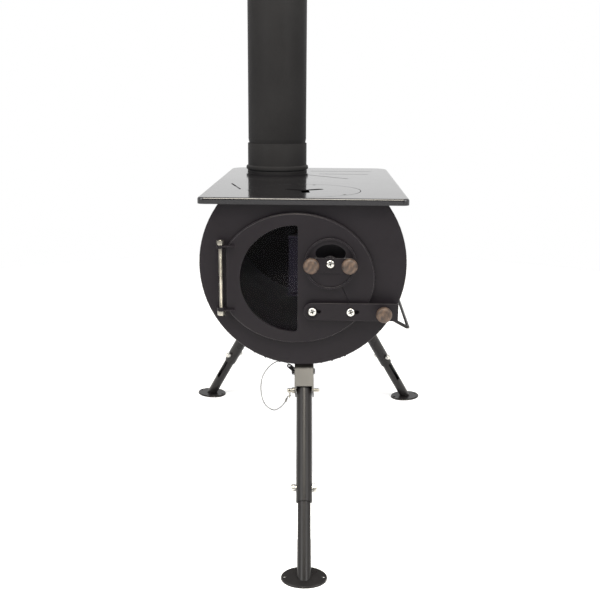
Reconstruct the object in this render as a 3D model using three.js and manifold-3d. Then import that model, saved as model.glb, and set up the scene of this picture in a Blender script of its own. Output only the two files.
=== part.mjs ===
// Tent wood stove on three folding, telescopic legs.
// Millimetres, +Z up, the door faces -Y. The origin is the middle of the stove's footprint on the ground.
// Inside this file depths are counted from the front edge of the cooking plate, and the
// whole stove is moved back by FOOTPRINT_MIDDLE at the end.

import * as THREE from 'three';
import { mergeVertices } from 'three/addons/utils/BufferGeometryUtils.js';
import Module from 'manifold-3d';

const wasm = await Module();
wasm.setup();

// ---------------------------------------------------------------- driving dimensions

const GAP = 0.3; // room left between pieces that touch
const degrees = Math.PI / 180;

// Cooking plate: a pressed sheet with a rolled edge that hangs over the barrel.
const PLATE_WIDTH = 286;
const PLATE_LENGTH = 468;
const PLATE_TOP = 472;
const PLATE_SHEET = 4;
const PLATE_EDGE_DEPTH = 9;
const PLATE_EDGE_SHEET = 2;
const PLATE_EDGE_ROUND = 3;
const PLATE_FRONT_CORNER = 9;
const PLATE_REAR_CORNER = 26;
const PLATE_UNDERSIDE = PLATE_TOP - PLATE_SHEET;

// Lift-out cooking lid.
const LID_RADIUS = 81;
const LID_Y = 94;
const LID_SHEET = 2.1;
const LID_CLEARANCE = 0.5;
const LID_SEAT_RADIUS = 69;
const LID_PIN_HOLE_RADIUS = 2;
const LID_PIN_HOLE_CIRCLE = 74;

// Horseshoe barrel.
const BARREL_RADIUS = 140;
const BARREL_SHEET = 1.5;
const BARREL_Z = 378;
const BARREL_FRONT = 15;
const BARREL_LENGTH = 440;
const END_PLATE_RADIUS = 143;
const END_PLATE_SHEET = 3;
const FRONT_PLATE_Y = BARREL_FRONT - END_PLATE_SHEET;

// Flue for standard 4 inch pipe.
const FLUE_X = -56;
const FLUE_Y = 393;
const COLLAR_INNER = 50.2;
const COLLAR_OUTER = 52;
const COLLAR_HEIGHT = 50;
const COLLAR_BEAD_RADIUS = 55;
const PIPE_OUTER = 51;
const PIPE_SHEET = 1;
const PIPE_CRIMP_OUTER = 49.6;
const PIPE_SHOULDER_HEIGHT = 6;
const PIPE_INSERT = 42;
const FLUE_HOLE_RADIUS = 48;
const PIPE_LENGTH = 358;

// Door: an oval pan, flattened on its hinge side.
const DOOR_X = -9;
const DOOR_Z = 360.4;
const DOOR_HALF_WIDTH = 108.5;
const DOOR_HALF_HEIGHT = 91.2;
const DOOR_HINGE_EDGE = -105.4;
const DOOR_FACE_Y = 3;
const DOOR_BACK_Y = 11.5;
const DOOR_SHEET = 2.5;
const DOORWAY_INSET = 9;

// Window in the door, a D with its straight side towards the air control.
const WINDOW_HALF_WIDTH = 77.3;
const WINDOW_HALF_HEIGHT = 74.6;
const WINDOW_STRAIGHT_EDGE = -6.6;
const GLASS_LAP = 6;
const GLASS_THICKNESS = 4;

// Rotating air control.
const SPINNER_X = 38;
const SPINNER_Z = 383;
const SPINNER_RADIUS = 35.5;
const SPINNER_RIM = 2.5;
const SPINNER_KNOB_OFFSET = 25.8;
const AIR_SLOT_INNER = 10.5;
const AIR_SLOT_OUTER = 27;
const AIR_SLOT_HALF_ANGLE = 42 * degrees;

// Sliding latch bar.
const LATCH_Z = 317;
const LATCH_SCREW_XS = [14.2, 66.6];
const LATCH_END_X = 131.8;
const LATCH_HEIGHT = 24.5;
const LATCH_FACE_Y = -6;
const LATCH_SHEET = 3;
const LATCH_TRAVEL = 9;
const LATCH_KNOB_X = 111.4;

// Hinge bolt.
const HINGE_X = -112;
const HINGE_Y = 2;
const HINGE_RADIUS = 3;
const HINGE_BOTTOM_TAB_Z = 315.5;
const HINGE_TOP_TAB_Z = 405;
const HINGE_TAB_SHEET = 2;
const HINGE_NUT_HEIGHT = 6.2;

// Small hardware.
const SCREW_SHANK = 2.5;
const SCREW_HEAD_RADIUS = 5.8;
const KNOB_RADIUS = 10.8;
const KNOB_LENGTH = 22;

// Side handle, a wire bail in two lugs on the right of the barrel.
const HANDLE_ANGLE = 33 * degrees;
const HANDLE_AXIS_RADIUS = 145.5;
const HANDLE_WIRE = 2.4;
const HANDLE_FRONT_Y = 40;
const HANDLE_LENGTH = 170;
const HANDLE_REACH_X = 29;
const HANDLE_REACH_Z = -15.8;
const HANDLE_LUG_RADIUS = 5;
const HANDLE_LUG_LENGTH = 10;

// Legs. A leg hangs from a pivot under the barrel and ends in a foot flat on the ground.
const LEG_PIVOT_RADIUS = 158;
const REAR_LEG_SPREAD = 28 * degrees;
const FRONT_LEG_LEAN = 1.5 * degrees;
const FRONT_PIVOT_X = 3;
const FRONT_PIVOT_Y = 27;
const REAR_PIVOT_Y = 420;
const FRONT_FOOT_Y = -155;
const REAR_FOOT_Y = 529;
const UPPER_TUBE_RADIUS = 11;
const LOWER_TUBE_RADIUS = 9.15;
const TUBE_WALL = 1.3;
const UPPER_TUBE_LENGTH = 188;
const LOWER_TUBE_HIDDEN = 78;
const LEG_RETRACT = 65;
const LEG_EXTEND = 45;
const CLAMP_BOLT_RADIUS = 3;
const CLAMP_FROM_END = 19.5;
const CLAMP_TURN = 50 * degrees;
const CLAMP_NUT_HEIGHT = 5.8;
const BRACKET_INNER = 22.6;
const BRACKET_SHEET = 2;
const BRACKET_WEB_BOTTOM = -28;
const BRACKET_CHEEK_BOTTOM = -35;
const BRACKET_BACK_DEPTH = 12;
const PIVOT_BOLT_RADIUS = 3;
const LOCK_PIN_RADIUS = 2.5;
const LOCK_PIN_DROP = 29;
const HOLE_CLEARANCE = 0.3;
const FOOT_HALF_WIDTH = 30;
const FOOT_HALF_DEPTH = 24;
const FOOT_SHEET = 3;
const FOOT_HOLE_RADIUS = 2.75;
const FOOT_HOLE_OFFSET = 25.2;
const FOOT_PLUG_RADIUS = 7.4;
const PIN_RING_RADIUS = 5.5;
const PIN_RING_WIRE = 0.75;

// Steel wire that keeps the front lock pin from getting lost.
const LANYARD_WIRE = 0.6;

// Middle of the depth from the front edge of the front foot to the rear edge of the rear feet.
const REAR_FOOT_REACH = Math.hypot(
  FOOT_HALF_WIDTH * Math.sin(REAR_LEG_SPREAD), FOOT_HALF_DEPTH * Math.cos(REAR_LEG_SPREAD),
);
const FOOTPRINT_MIDDLE = (FRONT_FOOT_Y - FOOT_HALF_DEPTH + REAR_FOOT_Y + REAR_FOOT_REACH) / 2;

// ---------------------------------------------------------------- finishes

function finish(color, roughness, metalness) {
  return new THREE.MeshStandardMaterial({ color, roughness, metalness });
}

const BLACK_PAINT = finish(0x2a282b, 0.55, 0.2);
const GLOSS_PAINT = finish(0x1f1e20, 0.25, 0.2);
const BARE_STEEL = finish(0x77736f, 0.5, 0.9);
const ZINC = finish(0xb9b7b0, 0.3, 0.9);
const WOOD = finish(0x5b4034, 0.6, 0);
const GLASS = finish(0x0f0f16, 0.05, 0);
const ROPE = finish(0x3a3836, 0.95, 0);

// ---------------------------------------------------------------- solids

function toSolid(geometry) {
  const bare = geometry.clone();
  bare.deleteAttribute('normal');
  bare.deleteAttribute('uv');
  const merged = mergeVertices(bare, 1e-4);
  const vertProperties = Float32Array.from(merged.attributes.position.array);
  const triVerts = Uint32Array.from(merged.index.array);
  return new wasm.Manifold(new wasm.Mesh({ numProp: 3, vertProperties, triVerts }));
}

function toGeometry(solid) {
  const mesh = solid.getMesh();
  const geometry = new THREE.BufferGeometry();
  geometry.setAttribute('position', new THREE.BufferAttribute(mesh.vertProperties, 3));
  geometry.setIndex(new THREE.BufferAttribute(mesh.triVerts, 1));
  geometry.computeVertexNormals();
  return geometry;
}

function cut(body, tools) {
  const result = tools.reduce((solid, tool) => solid.subtract(toSolid(tool)), toSolid(body));
  return toGeometry(result);
}

function join(pieces) {
  const [first, ...rest] = pieces.map(toSolid);
  return toGeometry(rest.reduce((solid, piece) => solid.add(piece), first));
}

function common(body, tool) {
  return toGeometry(toSolid(body).intersect(toSolid(tool)));
}

// A flat outline drawn in X and Z, standing as a sheet from y to y + thickness.
function standingSheet(outline, y, thickness, bevel = 0, curveSegments = 12) {
  const geometry = new THREE.ExtrudeGeometry(outline, {
    depth: thickness - 2 * bevel,
    bevelEnabled: bevel > 0,
    bevelThickness: bevel,
    bevelSize: bevel,
    bevelOffset: -bevel,
    bevelSegments: 1,
    curveSegments,
  });
  geometry.rotateX(Math.PI / 2);
  geometry.translate(0, y + thickness - bevel, 0);
  return geometry;
}

// A flat outline drawn in X and Y, lying as a sheet from z to z + thickness.
function lyingSheet(outline, z, thickness, bevel = 0, curveSegments = 12) {
  const geometry = new THREE.ExtrudeGeometry(outline, {
    depth: thickness - 2 * bevel,
    bevelEnabled: bevel > 0,
    bevelThickness: bevel,
    bevelSize: bevel,
    bevelOffset: -bevel,
    bevelSegments: 3,
    curveSegments,
  });
  geometry.translate(0, 0, z + bevel);
  return geometry;
}

function block(x0, x1, y0, y1, z0, z1) {
  const geometry = new THREE.BoxGeometry(x1 - x0, y1 - y0, z1 - z0);
  geometry.translate((x0 + x1) / 2, (y0 + y1) / 2, (z0 + z1) / 2);
  return geometry;
}

function rodX(radius, x0, x1, y, z, sides = 16) {
  const geometry = new THREE.CylinderGeometry(radius, radius, x1 - x0, sides);
  geometry.rotateZ(Math.PI / 2);
  geometry.translate((x0 + x1) / 2, y, z);
  return geometry;
}

function rodY(radius, y0, y1, x, z, sides = 16) {
  const geometry = new THREE.CylinderGeometry(radius, radius, y1 - y0, sides);
  geometry.translate(x, (y0 + y1) / 2, z);
  return geometry;
}

function rodZ(radius, z0, z1, x, y, sides = 24) {
  const geometry = new THREE.CylinderGeometry(radius, radius, z1 - z0, sides);
  geometry.rotateX(Math.PI / 2);
  geometry.translate(x, y, (z0 + z1) / 2);
  return geometry;
}

// A turned shape about Z from a list of [radius, height], given from the axis or closed on itself.
function turned(profile, sides) {
  const points = profile.map(([radius, height]) => new THREE.Vector2(radius, height));
  const geometry = new THREE.LatheGeometry(points, sides);
  geometry.rotateX(Math.PI / 2);
  return geometry;
}

// A round bar that follows a path.
function barAlong(path, radius, sides, steps) {
  const section = new THREE.Shape();
  section.absarc(0, 0, radius, 0, 2 * Math.PI);
  const options = { extrudePath: path, steps, curveSegments: sides / 2, bevelEnabled: false };
  return new THREE.ExtrudeGeometry(section, options);
}

function circle(x, y, radius) {
  const outline = new THREE.Shape();
  outline.absarc(x, y, radius, 0, 2 * Math.PI);
  return outline;
}

// ---------------------------------------------------------------- outlines

// Cooking plate seen from above, with the wider corners at the rear.
function plateOutline(inset) {
  const half = PLATE_WIDTH / 2 - inset;
  const front = inset;
  const rear = PLATE_LENGTH - inset;
  const small = PLATE_FRONT_CORNER - inset / 2;
  const large = PLATE_REAR_CORNER - inset;
  const outline = new THREE.Shape();
  outline.moveTo(-half + small, front);
  outline.lineTo(half - small, front);
  outline.absarc(half - small, front + small, small, -Math.PI / 2, 0);
  outline.lineTo(half, rear - large);
  outline.absarc(half - large, rear - large, large, 0, Math.PI / 2);
  outline.lineTo(-half + large, rear);
  outline.absarc(-half + large, rear - large, large, Math.PI / 2, Math.PI);
  outline.lineTo(-half, front + small);
  outline.absarc(-half + small, front + small, small, Math.PI, 1.5 * Math.PI);
  return outline;
}

// Circle cut flat at the underside of the cooking plate.
function horseshoeOutline(radius) {
  const topAngle = Math.asin((PLATE_UNDERSIDE - GAP - BARREL_Z) / radius);
  const outline = new THREE.Shape();
  outline.absarc(0, BARREL_Z, radius, topAngle, Math.PI - topAngle, true);
  outline.closePath();
  return outline;
}

// Oval of the door, cut straight at its hinge side; grow widens it evenly.
function doorOutline(grow) {
  const halfWidth = DOOR_HALF_WIDTH + grow;
  const halfHeight = DOOR_HALF_HEIGHT + grow;
  const edge = DOOR_HINGE_EDGE - grow;
  const cutAngle = Math.acos((edge - DOOR_X) / halfWidth);
  const outline = new THREE.Shape();
  outline.absellipse(DOOR_X, DOOR_Z, halfWidth, halfHeight, -cutAngle, cutAngle, false);
  outline.closePath();
  return outline;
}

// D of the window, straight on its right; grow widens it evenly.
function windowOutline(grow) {
  const halfWidth = WINDOW_HALF_WIDTH + grow;
  const halfHeight = WINDOW_HALF_HEIGHT + grow;
  const edge = WINDOW_STRAIGHT_EDGE + grow;
  const corner = 5 + grow / 2;
  const topAngle = Math.acos((edge - corner - DOOR_X) / halfWidth);
  const topZ = DOOR_Z + halfHeight * Math.sin(topAngle);
  const bottomZ = DOOR_Z - halfHeight * Math.sin(topAngle);
  const outline = new THREE.Shape();
  outline.absellipse(DOOR_X, DOOR_Z, halfWidth, halfHeight, topAngle, -topAngle, false);
  outline.quadraticCurveTo(edge, bottomZ, edge, bottomZ + corner);
  outline.lineTo(edge, topZ - corner);
  outline.quadraticCurveTo(edge, topZ, edge - corner, topZ);
  return outline;
}

// Kidney-shaped air slot above the centre of the air control.
function airSlotOutline() {
  const middle = (AIR_SLOT_INNER + AIR_SLOT_OUTER) / 2;
  const end = (AIR_SLOT_OUTER - AIR_SLOT_INNER) / 2;
  const right = Math.PI / 2 - AIR_SLOT_HALF_ANGLE;
  const left = Math.PI / 2 + AIR_SLOT_HALF_ANGLE;
  const across = middle * Math.cos(right);
  const endZ = SPINNER_Z + middle * Math.sin(right);
  const outline = new THREE.Shape();
  outline.absarc(SPINNER_X, SPINNER_Z, AIR_SLOT_OUTER, right, left, false);
  outline.absarc(SPINNER_X - across, endZ, end, left, left + Math.PI, false);
  outline.absarc(SPINNER_X, SPINNER_Z, AIR_SLOT_INNER, left, right, true);
  outline.absarc(SPINNER_X + across, endZ, end, right - Math.PI, right, false);
  return outline;
}

// Slot with round ends between two points.
function slotOutline(ax, ay, bx, by, radius) {
  const heading = Math.atan2(by - ay, bx - ax);
  const outline = new THREE.Shape();
  outline.absarc(bx, by, radius, heading - Math.PI / 2, heading + Math.PI / 2, false);
  outline.absarc(ax, ay, radius, heading + Math.PI / 2, heading + 1.5 * Math.PI, false);
  return outline;
}

// Lifting hole of the lid, a plain star of three round-ended arms.
function lidStarSlots() {
  const armLength = 26;
  const armRadius = 5.5;
  return [35, 155, 275].map((angle) => slotOutline(
    0, LID_Y, armLength * Math.cos(angle * degrees), LID_Y + armLength * Math.sin(angle * degrees), armRadius,
  ));
}

// ---------------------------------------------------------------- stove body

function makeCookingPlate() {
  const edgeBottom = PLATE_TOP - PLATE_EDGE_DEPTH;
  const blank = lyingSheet(plateOutline(0), edgeBottom - 4, PLATE_EDGE_DEPTH + 4, PLATE_EDGE_ROUND, 5);
  const below = block(-200, 200, -50, 600, edgeBottom - 20, edgeBottom);
  const pocketHeight = PLATE_UNDERSIDE - edgeBottom + 10;
  const pocket = lyingSheet(plateOutline(PLATE_EDGE_SHEET), edgeBottom - 10, pocketHeight);
  const low = PLATE_UNDERSIDE - 1;
  const high = PLATE_TOP + 1;
  const slotRadius = 1.5;
  const reliefSlots = [
    slotOutline(-114, 177, -94, 103, slotRadius),
    slotOutline(-3, 330, 66, 266, slotRadius),
    slotOutline(5, 397, 110, 397, slotRadius),
    slotOutline(20, 345, 102, 345, slotRadius),
  ];
  return cut(blank, [
    below,
    pocket,
    rodZ(LID_RADIUS + LID_CLEARANCE, PLATE_TOP - LID_SHEET - 0.1, high, 0, LID_Y, 48),
    rodZ(LID_SEAT_RADIUS, low, high, 0, LID_Y, 48),
    rodZ(FLUE_HOLE_RADIUS, low, high, FLUE_X, FLUE_Y, 32),
    ...reliefSlots.map((slot) => lyingSheet(slot, low, high - low, 0, 3)),
  ]);
}

function makeCookingLid() {
  const low = PLATE_TOP - LID_SHEET;
  const disc = rodZ(LID_RADIUS, low, PLATE_TOP, 0, LID_Y, 48);
  const pinHoles = [80, 200, 320].map((angle) => rodZ(
    LID_PIN_HOLE_RADIUS, low - 1, PLATE_TOP + 1,
    LID_PIN_HOLE_CIRCLE * Math.cos(angle * degrees),
    LID_Y + LID_PIN_HOLE_CIRCLE * Math.sin(angle * degrees), 8,
  ));
  const arms = lidStarSlots().map((slot) => lyingSheet(slot, low - 1, LID_SHEET + 2, 0, 4));
  return cut(disc, [...pinHoles, ...arms]);
}

function makeFlueCollar() {
  const base = PLATE_TOP;
  const geometry = turned([
    [COLLAR_INNER, base], [COLLAR_OUTER, base], [COLLAR_OUTER, base + 3.5], [COLLAR_BEAD_RADIUS, base + 5],
    [COLLAR_BEAD_RADIUS, base + 10], [COLLAR_OUTER, base + 12], [COLLAR_OUTER, base + COLLAR_HEIGHT],
    [COLLAR_INNER, base + COLLAR_HEIGHT], [COLLAR_INNER, base],
  ], 32);
  geometry.translate(FLUE_X, FLUE_Y, 0);
  return geometry;
}

// One flue section: its crimped lower end stands in the collar.
function makeFlueSection() {
  const shoulder = PLATE_TOP + COLLAR_HEIGHT + 1;
  const full = shoulder + PIPE_SHOULDER_HEIGHT;
  const top = PLATE_TOP + COLLAR_HEIGHT + PIPE_LENGTH;
  const bottom = PLATE_TOP + COLLAR_HEIGHT - PIPE_INSERT;
  const inner = PIPE_CRIMP_OUTER - PIPE_SHEET;
  const geometry = turned([
    [inner, bottom], [PIPE_CRIMP_OUTER, bottom], [PIPE_CRIMP_OUTER, shoulder], [PIPE_OUTER, full],
    [PIPE_OUTER, top], [PIPE_OUTER - PIPE_SHEET, top], [PIPE_OUTER - PIPE_SHEET, full],
    [inner, shoulder], [inner, bottom],
  ], 32);
  geometry.translate(FLUE_X, FLUE_Y, 0);
  return geometry;
}

function makeBarrelShell() {
  const outer = standingSheet(horseshoeOutline(BARREL_RADIUS), BARREL_FRONT, BARREL_LENGTH, 0, 30);
  const inner = standingSheet(
    horseshoeOutline(BARREL_RADIUS - BARREL_SHEET), BARREL_FRONT - 1, BARREL_LENGTH + 2, 0, 30,
  );
  const rear = BARREL_FRONT + BARREL_LENGTH;
  const top = block(-200, 200, BARREL_FRONT - 1, rear + 1, PLATE_UNDERSIDE - GAP - 0.2, PLATE_TOP);
  return cut(outer, [inner, top]);
}

function makeFrontPlate() {
  const plate = standingSheet(horseshoeOutline(END_PLATE_RADIUS), FRONT_PLATE_Y, END_PLATE_SHEET, 1, 30);
  const doorway = standingSheet(doorOutline(-DOORWAY_INSET), FRONT_PLATE_Y - 1, END_PLATE_SHEET + 2, 0, 20);
  return cut(plate, [doorway]);
}

function makeBackPlate() {
  const y = BARREL_FRONT + BARREL_LENGTH;
  return standingSheet(horseshoeOutline(END_PLATE_RADIUS), y, END_PLATE_SHEET, 1, 30);
}

// ---------------------------------------------------------------- door

function makeDoorPanel() {
  const pan = standingSheet(doorOutline(0), DOOR_FACE_Y, DOOR_BACK_Y - DOOR_FACE_Y, 1.5, 20);
  const pocket = standingSheet(doorOutline(-DOOR_SHEET), DOOR_FACE_Y + DOOR_SHEET, 20, 0, 20);
  const screws = [...LATCH_SCREW_XS.map((x) => [x, LATCH_Z]), [SPINNER_X, SPINNER_Z]];
  const screwHole = SCREW_SHANK + HOLE_CLEARANCE;
  return cut(pan, [
    pocket,
    standingSheet(windowOutline(0), DOOR_FACE_Y - 1, DOOR_SHEET + 2, 0, 14),
    standingSheet(airSlotOutline(), DOOR_FACE_Y - 1, DOOR_SHEET + 2, 0, 8),
    ...screws.map(([x, z]) => rodY(screwHole, DOOR_FACE_Y - 1, DOOR_FACE_Y + DOOR_SHEET + 1, x, z, 12)),
  ]);
}

const GLASS_Y = DOOR_FACE_Y + DOOR_SHEET + GAP;
const RETAINER_Y = GLASS_Y + GLASS_THICKNESS + GAP;
const RETAINER_SHEET = 1.2;

function makeDoorGlass() {
  return standingSheet(windowOutline(GLASS_LAP), GLASS_Y, GLASS_THICKNESS, 0, 14);
}

// Frame that clamps the glass from behind.
function makeGlassRetainer() {
  const frame = standingSheet(windowOutline(GLASS_LAP + 1), RETAINER_Y, RETAINER_SHEET, 0, 14);
  return cut(frame, [standingSheet(windowOutline(1), RETAINER_Y - 1, RETAINER_SHEET + 2, 0, 14)]);
}

// Rope seal that runs round inside the door's rim.
function makeDoorSeal() {
  const y = DOOR_FACE_Y + DOOR_SHEET + GAP;
  const rope = standingSheet(doorOutline(-DOOR_SHEET - GAP), y, DOOR_BACK_Y - y - 0.2, 0, 20);
  return cut(rope, [standingSheet(doorOutline(-DOOR_SHEET - 6), y - 1, 20, 0, 20)]);
}

// Air box behind the air control: it turns the air to the left, across the glass.
function makeAirBox() {
  const wall = 1.5;
  const back = 30;
  const front = DOOR_FACE_Y + DOOR_SHEET + GAP;
  const top = 418;
  const bottom = 335;
  const left = -20;
  const right = 72;
  const outline = (inset, leftEdge) => {
    const shape = new THREE.Shape();
    shape.moveTo(leftEdge, bottom + inset);
    shape.lineTo(right - inset, bottom + inset);
    shape.lineTo(right - inset, 380);
    shape.lineTo(58 - inset / 2, top - inset);
    shape.lineTo(leftEdge, top - inset);
    return shape;
  };
  const box = standingSheet(outline(0, left), front, back - front);
  const room = standingSheet(outline(wall, left - 5), front - 1, back - front - wall + 1);
  const glassRoom = block(left - 5, 2, front - 1, RETAINER_Y + RETAINER_SHEET + GAP, bottom - 5, top + 5);
  return cut(box, [room, glassRoom]);
}

// Hinge tab: a round eye about the bolt with a strap to its own side.
function makeHingeTab(z, strap) {
  const eye = rodZ(6, z, z + HINGE_TAB_SHEET, HINGE_X, HINGE_Y, 16);
  const boltHole = rodZ(HINGE_RADIUS + HOLE_CLEARANCE, z - 1, z + HINGE_TAB_SHEET + 1, HINGE_X, HINGE_Y, 12);
  return cut(join([eye, strap]), [boltHole]);
}

// The door's tabs lie across the door's face.
function makeDoorHingeTab(z) {
  const strap = block(HINGE_X, -94, HINGE_Y - 6, DOOR_FACE_Y, z, z + HINGE_TAB_SHEET);
  return makeHingeTab(z, strap);
}

// The body's tabs stand out of the front plate.
function makeBodyHingeTab(z) {
  const strap = block(HINGE_X - 6, HINGE_X + 5, HINGE_Y, FRONT_PLATE_Y, z, z + HINGE_TAB_SHEET);
  return makeHingeTab(z, strap);
}

function makeHingeBolt() {
  const head = rodZ(5.7, 308.5, HINGE_BOTTOM_TAB_Z - GAP, HINGE_X, HINGE_Y, 6);
  const top = HINGE_TOP_TAB_Z + HINGE_TAB_SHEET + GAP + HINGE_NUT_HEIGHT + 0.5;
  const shank = rodZ(HINGE_RADIUS, 310, top, HINGE_X, HINGE_Y, 16);
  return join([head, shank]);
}

function makeHingeNut() {
  const bottom = HINGE_TOP_TAB_Z + HINGE_TAB_SHEET + GAP;
  const nut = rodZ(5.7, bottom, bottom + HINGE_NUT_HEIGHT, HINGE_X, HINGE_Y, 6);
  return cut(nut, [rodZ(HINGE_RADIUS + GAP, bottom - 1, bottom + 10, HINGE_X, HINGE_Y, 16)]);
}

// Pan-head screw through the door. Its head starts at headBack; a spacer of spacerRadius
// fills the room from spacerFront to the door's face.
function makeScrew(x, z, headBack, spacerFront, spacerRadius) {
  const headFront = headBack - 2.8;
  const spacerBack = DOOR_FACE_Y;
  const tip = DOOR_FACE_Y + DOOR_SHEET + 2.5;
  const profile = [
    [0, headFront], [SCREW_HEAD_RADIUS * 0.75, headFront], [SCREW_HEAD_RADIUS, headFront + 1.5],
    [SCREW_HEAD_RADIUS, headBack], [SCREW_SHANK, headBack], [SCREW_SHANK, tip], [0, tip],
  ];
  if (spacerRadius) {
    profile.splice(
      5, 0,
      [SCREW_SHANK, spacerFront], [spacerRadius, spacerFront],
      [spacerRadius, spacerBack], [SCREW_SHANK, spacerBack],
    );
  }
  const geometry = turned(profile, 12);
  geometry.rotateX(-Math.PI / 2);
  geometry.translate(x, 0, z);
  return geometry;
}

function makeLatchScrew(x) {
  return makeScrew(x, LATCH_Z, LATCH_FACE_Y - GAP, LATCH_FACE_Y + LATCH_SHEET + GAP, 4.8);
}

// Turned wooden knob whose foot stands on a plate face at y.
function makeKnob(x, z, y) {
  const r = KNOB_RADIUS;
  const geometry = turned([
    [0, 0], [r * 0.62, 0], [r * 0.58, 4], [r * 0.8, 9], [r, 14], [r, 18], [r * 0.8, 21], [0, KNOB_LENGTH],
  ], 16);
  geometry.rotateX(Math.PI / 2);
  geometry.translate(x, y, z);
  return geometry;
}

// Air control: a dished disc with a raised strap across it, which carries the knobs and the screw.
const SPINNER_FACE_Y = DOOR_FACE_Y - GAP - 2;
const STRAP_FACE_Y = SPINNER_FACE_Y - 1.5;

function makeSpinnerDisc() {
  const back = DOOR_FACE_Y - GAP;
  const inside = SPINNER_RADIUS - 2.5;
  const disc = rodY(SPINNER_RADIUS, SPINNER_FACE_Y, back, SPINNER_X, SPINNER_Z, 32);
  const rim = rodY(SPINNER_RADIUS, SPINNER_FACE_Y - SPINNER_RIM, back - 1, SPINNER_X, SPINNER_Z, 32);
  const dish = rodY(inside, back - 10, SPINNER_FACE_Y, SPINNER_X, SPINNER_Z, 32);
  const dished = cut(join([disc, cut(rim, [dish])]), [standingSheet(airSlotOutline(), back - 5, 10, 0, 8)]);
  const strap = common(
    block(SPINNER_X - 40, SPINNER_X + 40, STRAP_FACE_Y, back - 1, SPINNER_Z - 12.5, SPINNER_Z + 8),
    rodY(inside + 0.5, back - 10, back, SPINNER_X, SPINNER_Z, 32),
  );
  const screwHole = rodY(SCREW_SHANK + HOLE_CLEARANCE, back - 5, back + 5, SPINNER_X, SPINNER_Z, 12);
  return cut(join([dished, strap]), [screwHole]);
}

// Latch bar: it slides on two screws, and the hook behind its end catches the keeper.
function makeLatchBar() {
  const half = LATCH_HEIGHT / 2;
  const startX = LATCH_SCREW_XS[0];
  const outline = new THREE.Shape();
  outline.absarc(startX, LATCH_Z, half, Math.PI / 2, 1.5 * Math.PI, false);
  outline.lineTo(LATCH_END_X, LATCH_Z - half);
  outline.lineTo(LATCH_END_X, LATCH_Z + half);
  outline.closePath();
  const bar = standingSheet(outline, LATCH_FACE_Y, LATCH_SHEET, 0.6, 8);
  const hookLeg = block(LATCH_END_X - 2.5, LATCH_END_X, LATCH_FACE_Y + 1, 8, LATCH_Z - 7, LATCH_Z + 7);
  const hookTip = block(LATCH_END_X - 8, LATCH_END_X - 1, 5.5, 8, LATCH_Z - 7, LATCH_Z + 7);
  const slotHalf = SCREW_SHANK + HOLE_CLEARANCE;
  const slots = LATCH_SCREW_XS.map((x) => standingSheet(
    slotOutline(x, LATCH_Z, x + LATCH_TRAVEL, LATCH_Z, slotHalf), LATCH_FACE_Y - 2, 8, 0, 6,
  ));
  const dimple = rodY(9.2, LATCH_FACE_Y - 1, LATCH_FACE_Y + 0.7, startX, LATCH_Z, 24);
  return cut(join([bar, hookLeg, hookTip]), [...slots, dimple]);
}

// Keeper on the front plate, hidden behind the end of the latch bar.
function makeLatchKeeper() {
  const stem = block(110, 113, 1, FRONT_PLATE_Y, LATCH_Z - 8, LATCH_Z + 8);
  const lip = block(111, 119.5, 1, 3.5, LATCH_Z - 8, LATCH_Z + 8);
  return join([stem, lip]);
}

// ---------------------------------------------------------------- side handle

const HANDLE_AXIS_X = HANDLE_AXIS_RADIUS * Math.cos(HANDLE_ANGLE);
const HANDLE_AXIS_Z = BARREL_Z - HANDLE_AXIS_RADIUS * Math.sin(HANDLE_ANGLE);
const HANDLE_LUG_YS = [HANDLE_FRONT_Y + 9, HANDLE_FRONT_Y + HANDLE_LENGTH - 9];

// Path of straight runs with rounded corners.
function roundedPath(corners, radius) {
  const path = new THREE.CurvePath();
  let from = corners[0];
  for (let i = 1; i < corners.length - 1; i += 1) {
    const corner = corners[i];
    const before = corner.clone().add(corners[i - 1].clone().sub(corner).setLength(radius));
    const after = corner.clone().add(corners[i + 1].clone().sub(corner).setLength(radius));
    path.add(new THREE.LineCurve3(from, before));
    path.add(new THREE.QuadraticBezierCurve3(before, corner, after));
    from = after;
  }
  path.add(new THREE.LineCurve3(from, corners[corners.length - 1]));
  return path;
}

function makeHandleWire() {
  const outX = HANDLE_AXIS_X + HANDLE_REACH_X;
  const outZ = HANDLE_AXIS_Z + HANDLE_REACH_Z;
  const rearY = HANDLE_FRONT_Y + HANDLE_LENGTH;
  const corners = [
    new THREE.Vector3(HANDLE_AXIS_X, HANDLE_LUG_YS[0] + 7, HANDLE_AXIS_Z),
    new THREE.Vector3(HANDLE_AXIS_X, HANDLE_FRONT_Y, HANDLE_AXIS_Z),
    new THREE.Vector3(outX, HANDLE_FRONT_Y, outZ),
    new THREE.Vector3(outX, rearY, outZ),
    new THREE.Vector3(HANDLE_AXIS_X, rearY, HANDLE_AXIS_Z),
    new THREE.Vector3(HANDLE_AXIS_X, HANDLE_LUG_YS[1] - 7, HANDLE_AXIS_Z),
  ];
  return barAlong(roundedPath(corners, 4), HANDLE_WIRE, 8, 58);
}

// Short tube welded along the barrel, in which an end of the wire turns.
function makeHandleLug(y) {
  const half = HANDLE_LUG_LENGTH / 2;
  const body = rodY(HANDLE_LUG_RADIUS, y - half, y + half, HANDLE_AXIS_X, HANDLE_AXIS_Z, 16);
  const boreRadius = HANDLE_WIRE + HOLE_CLEARANCE;
  const bore = rodY(boreRadius, y - half - 1, y + half + 1, HANDLE_AXIS_X, HANDLE_AXIS_Z, 16);
  return cut(body, [bore]);
}

// ---------------------------------------------------------------- legs

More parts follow.
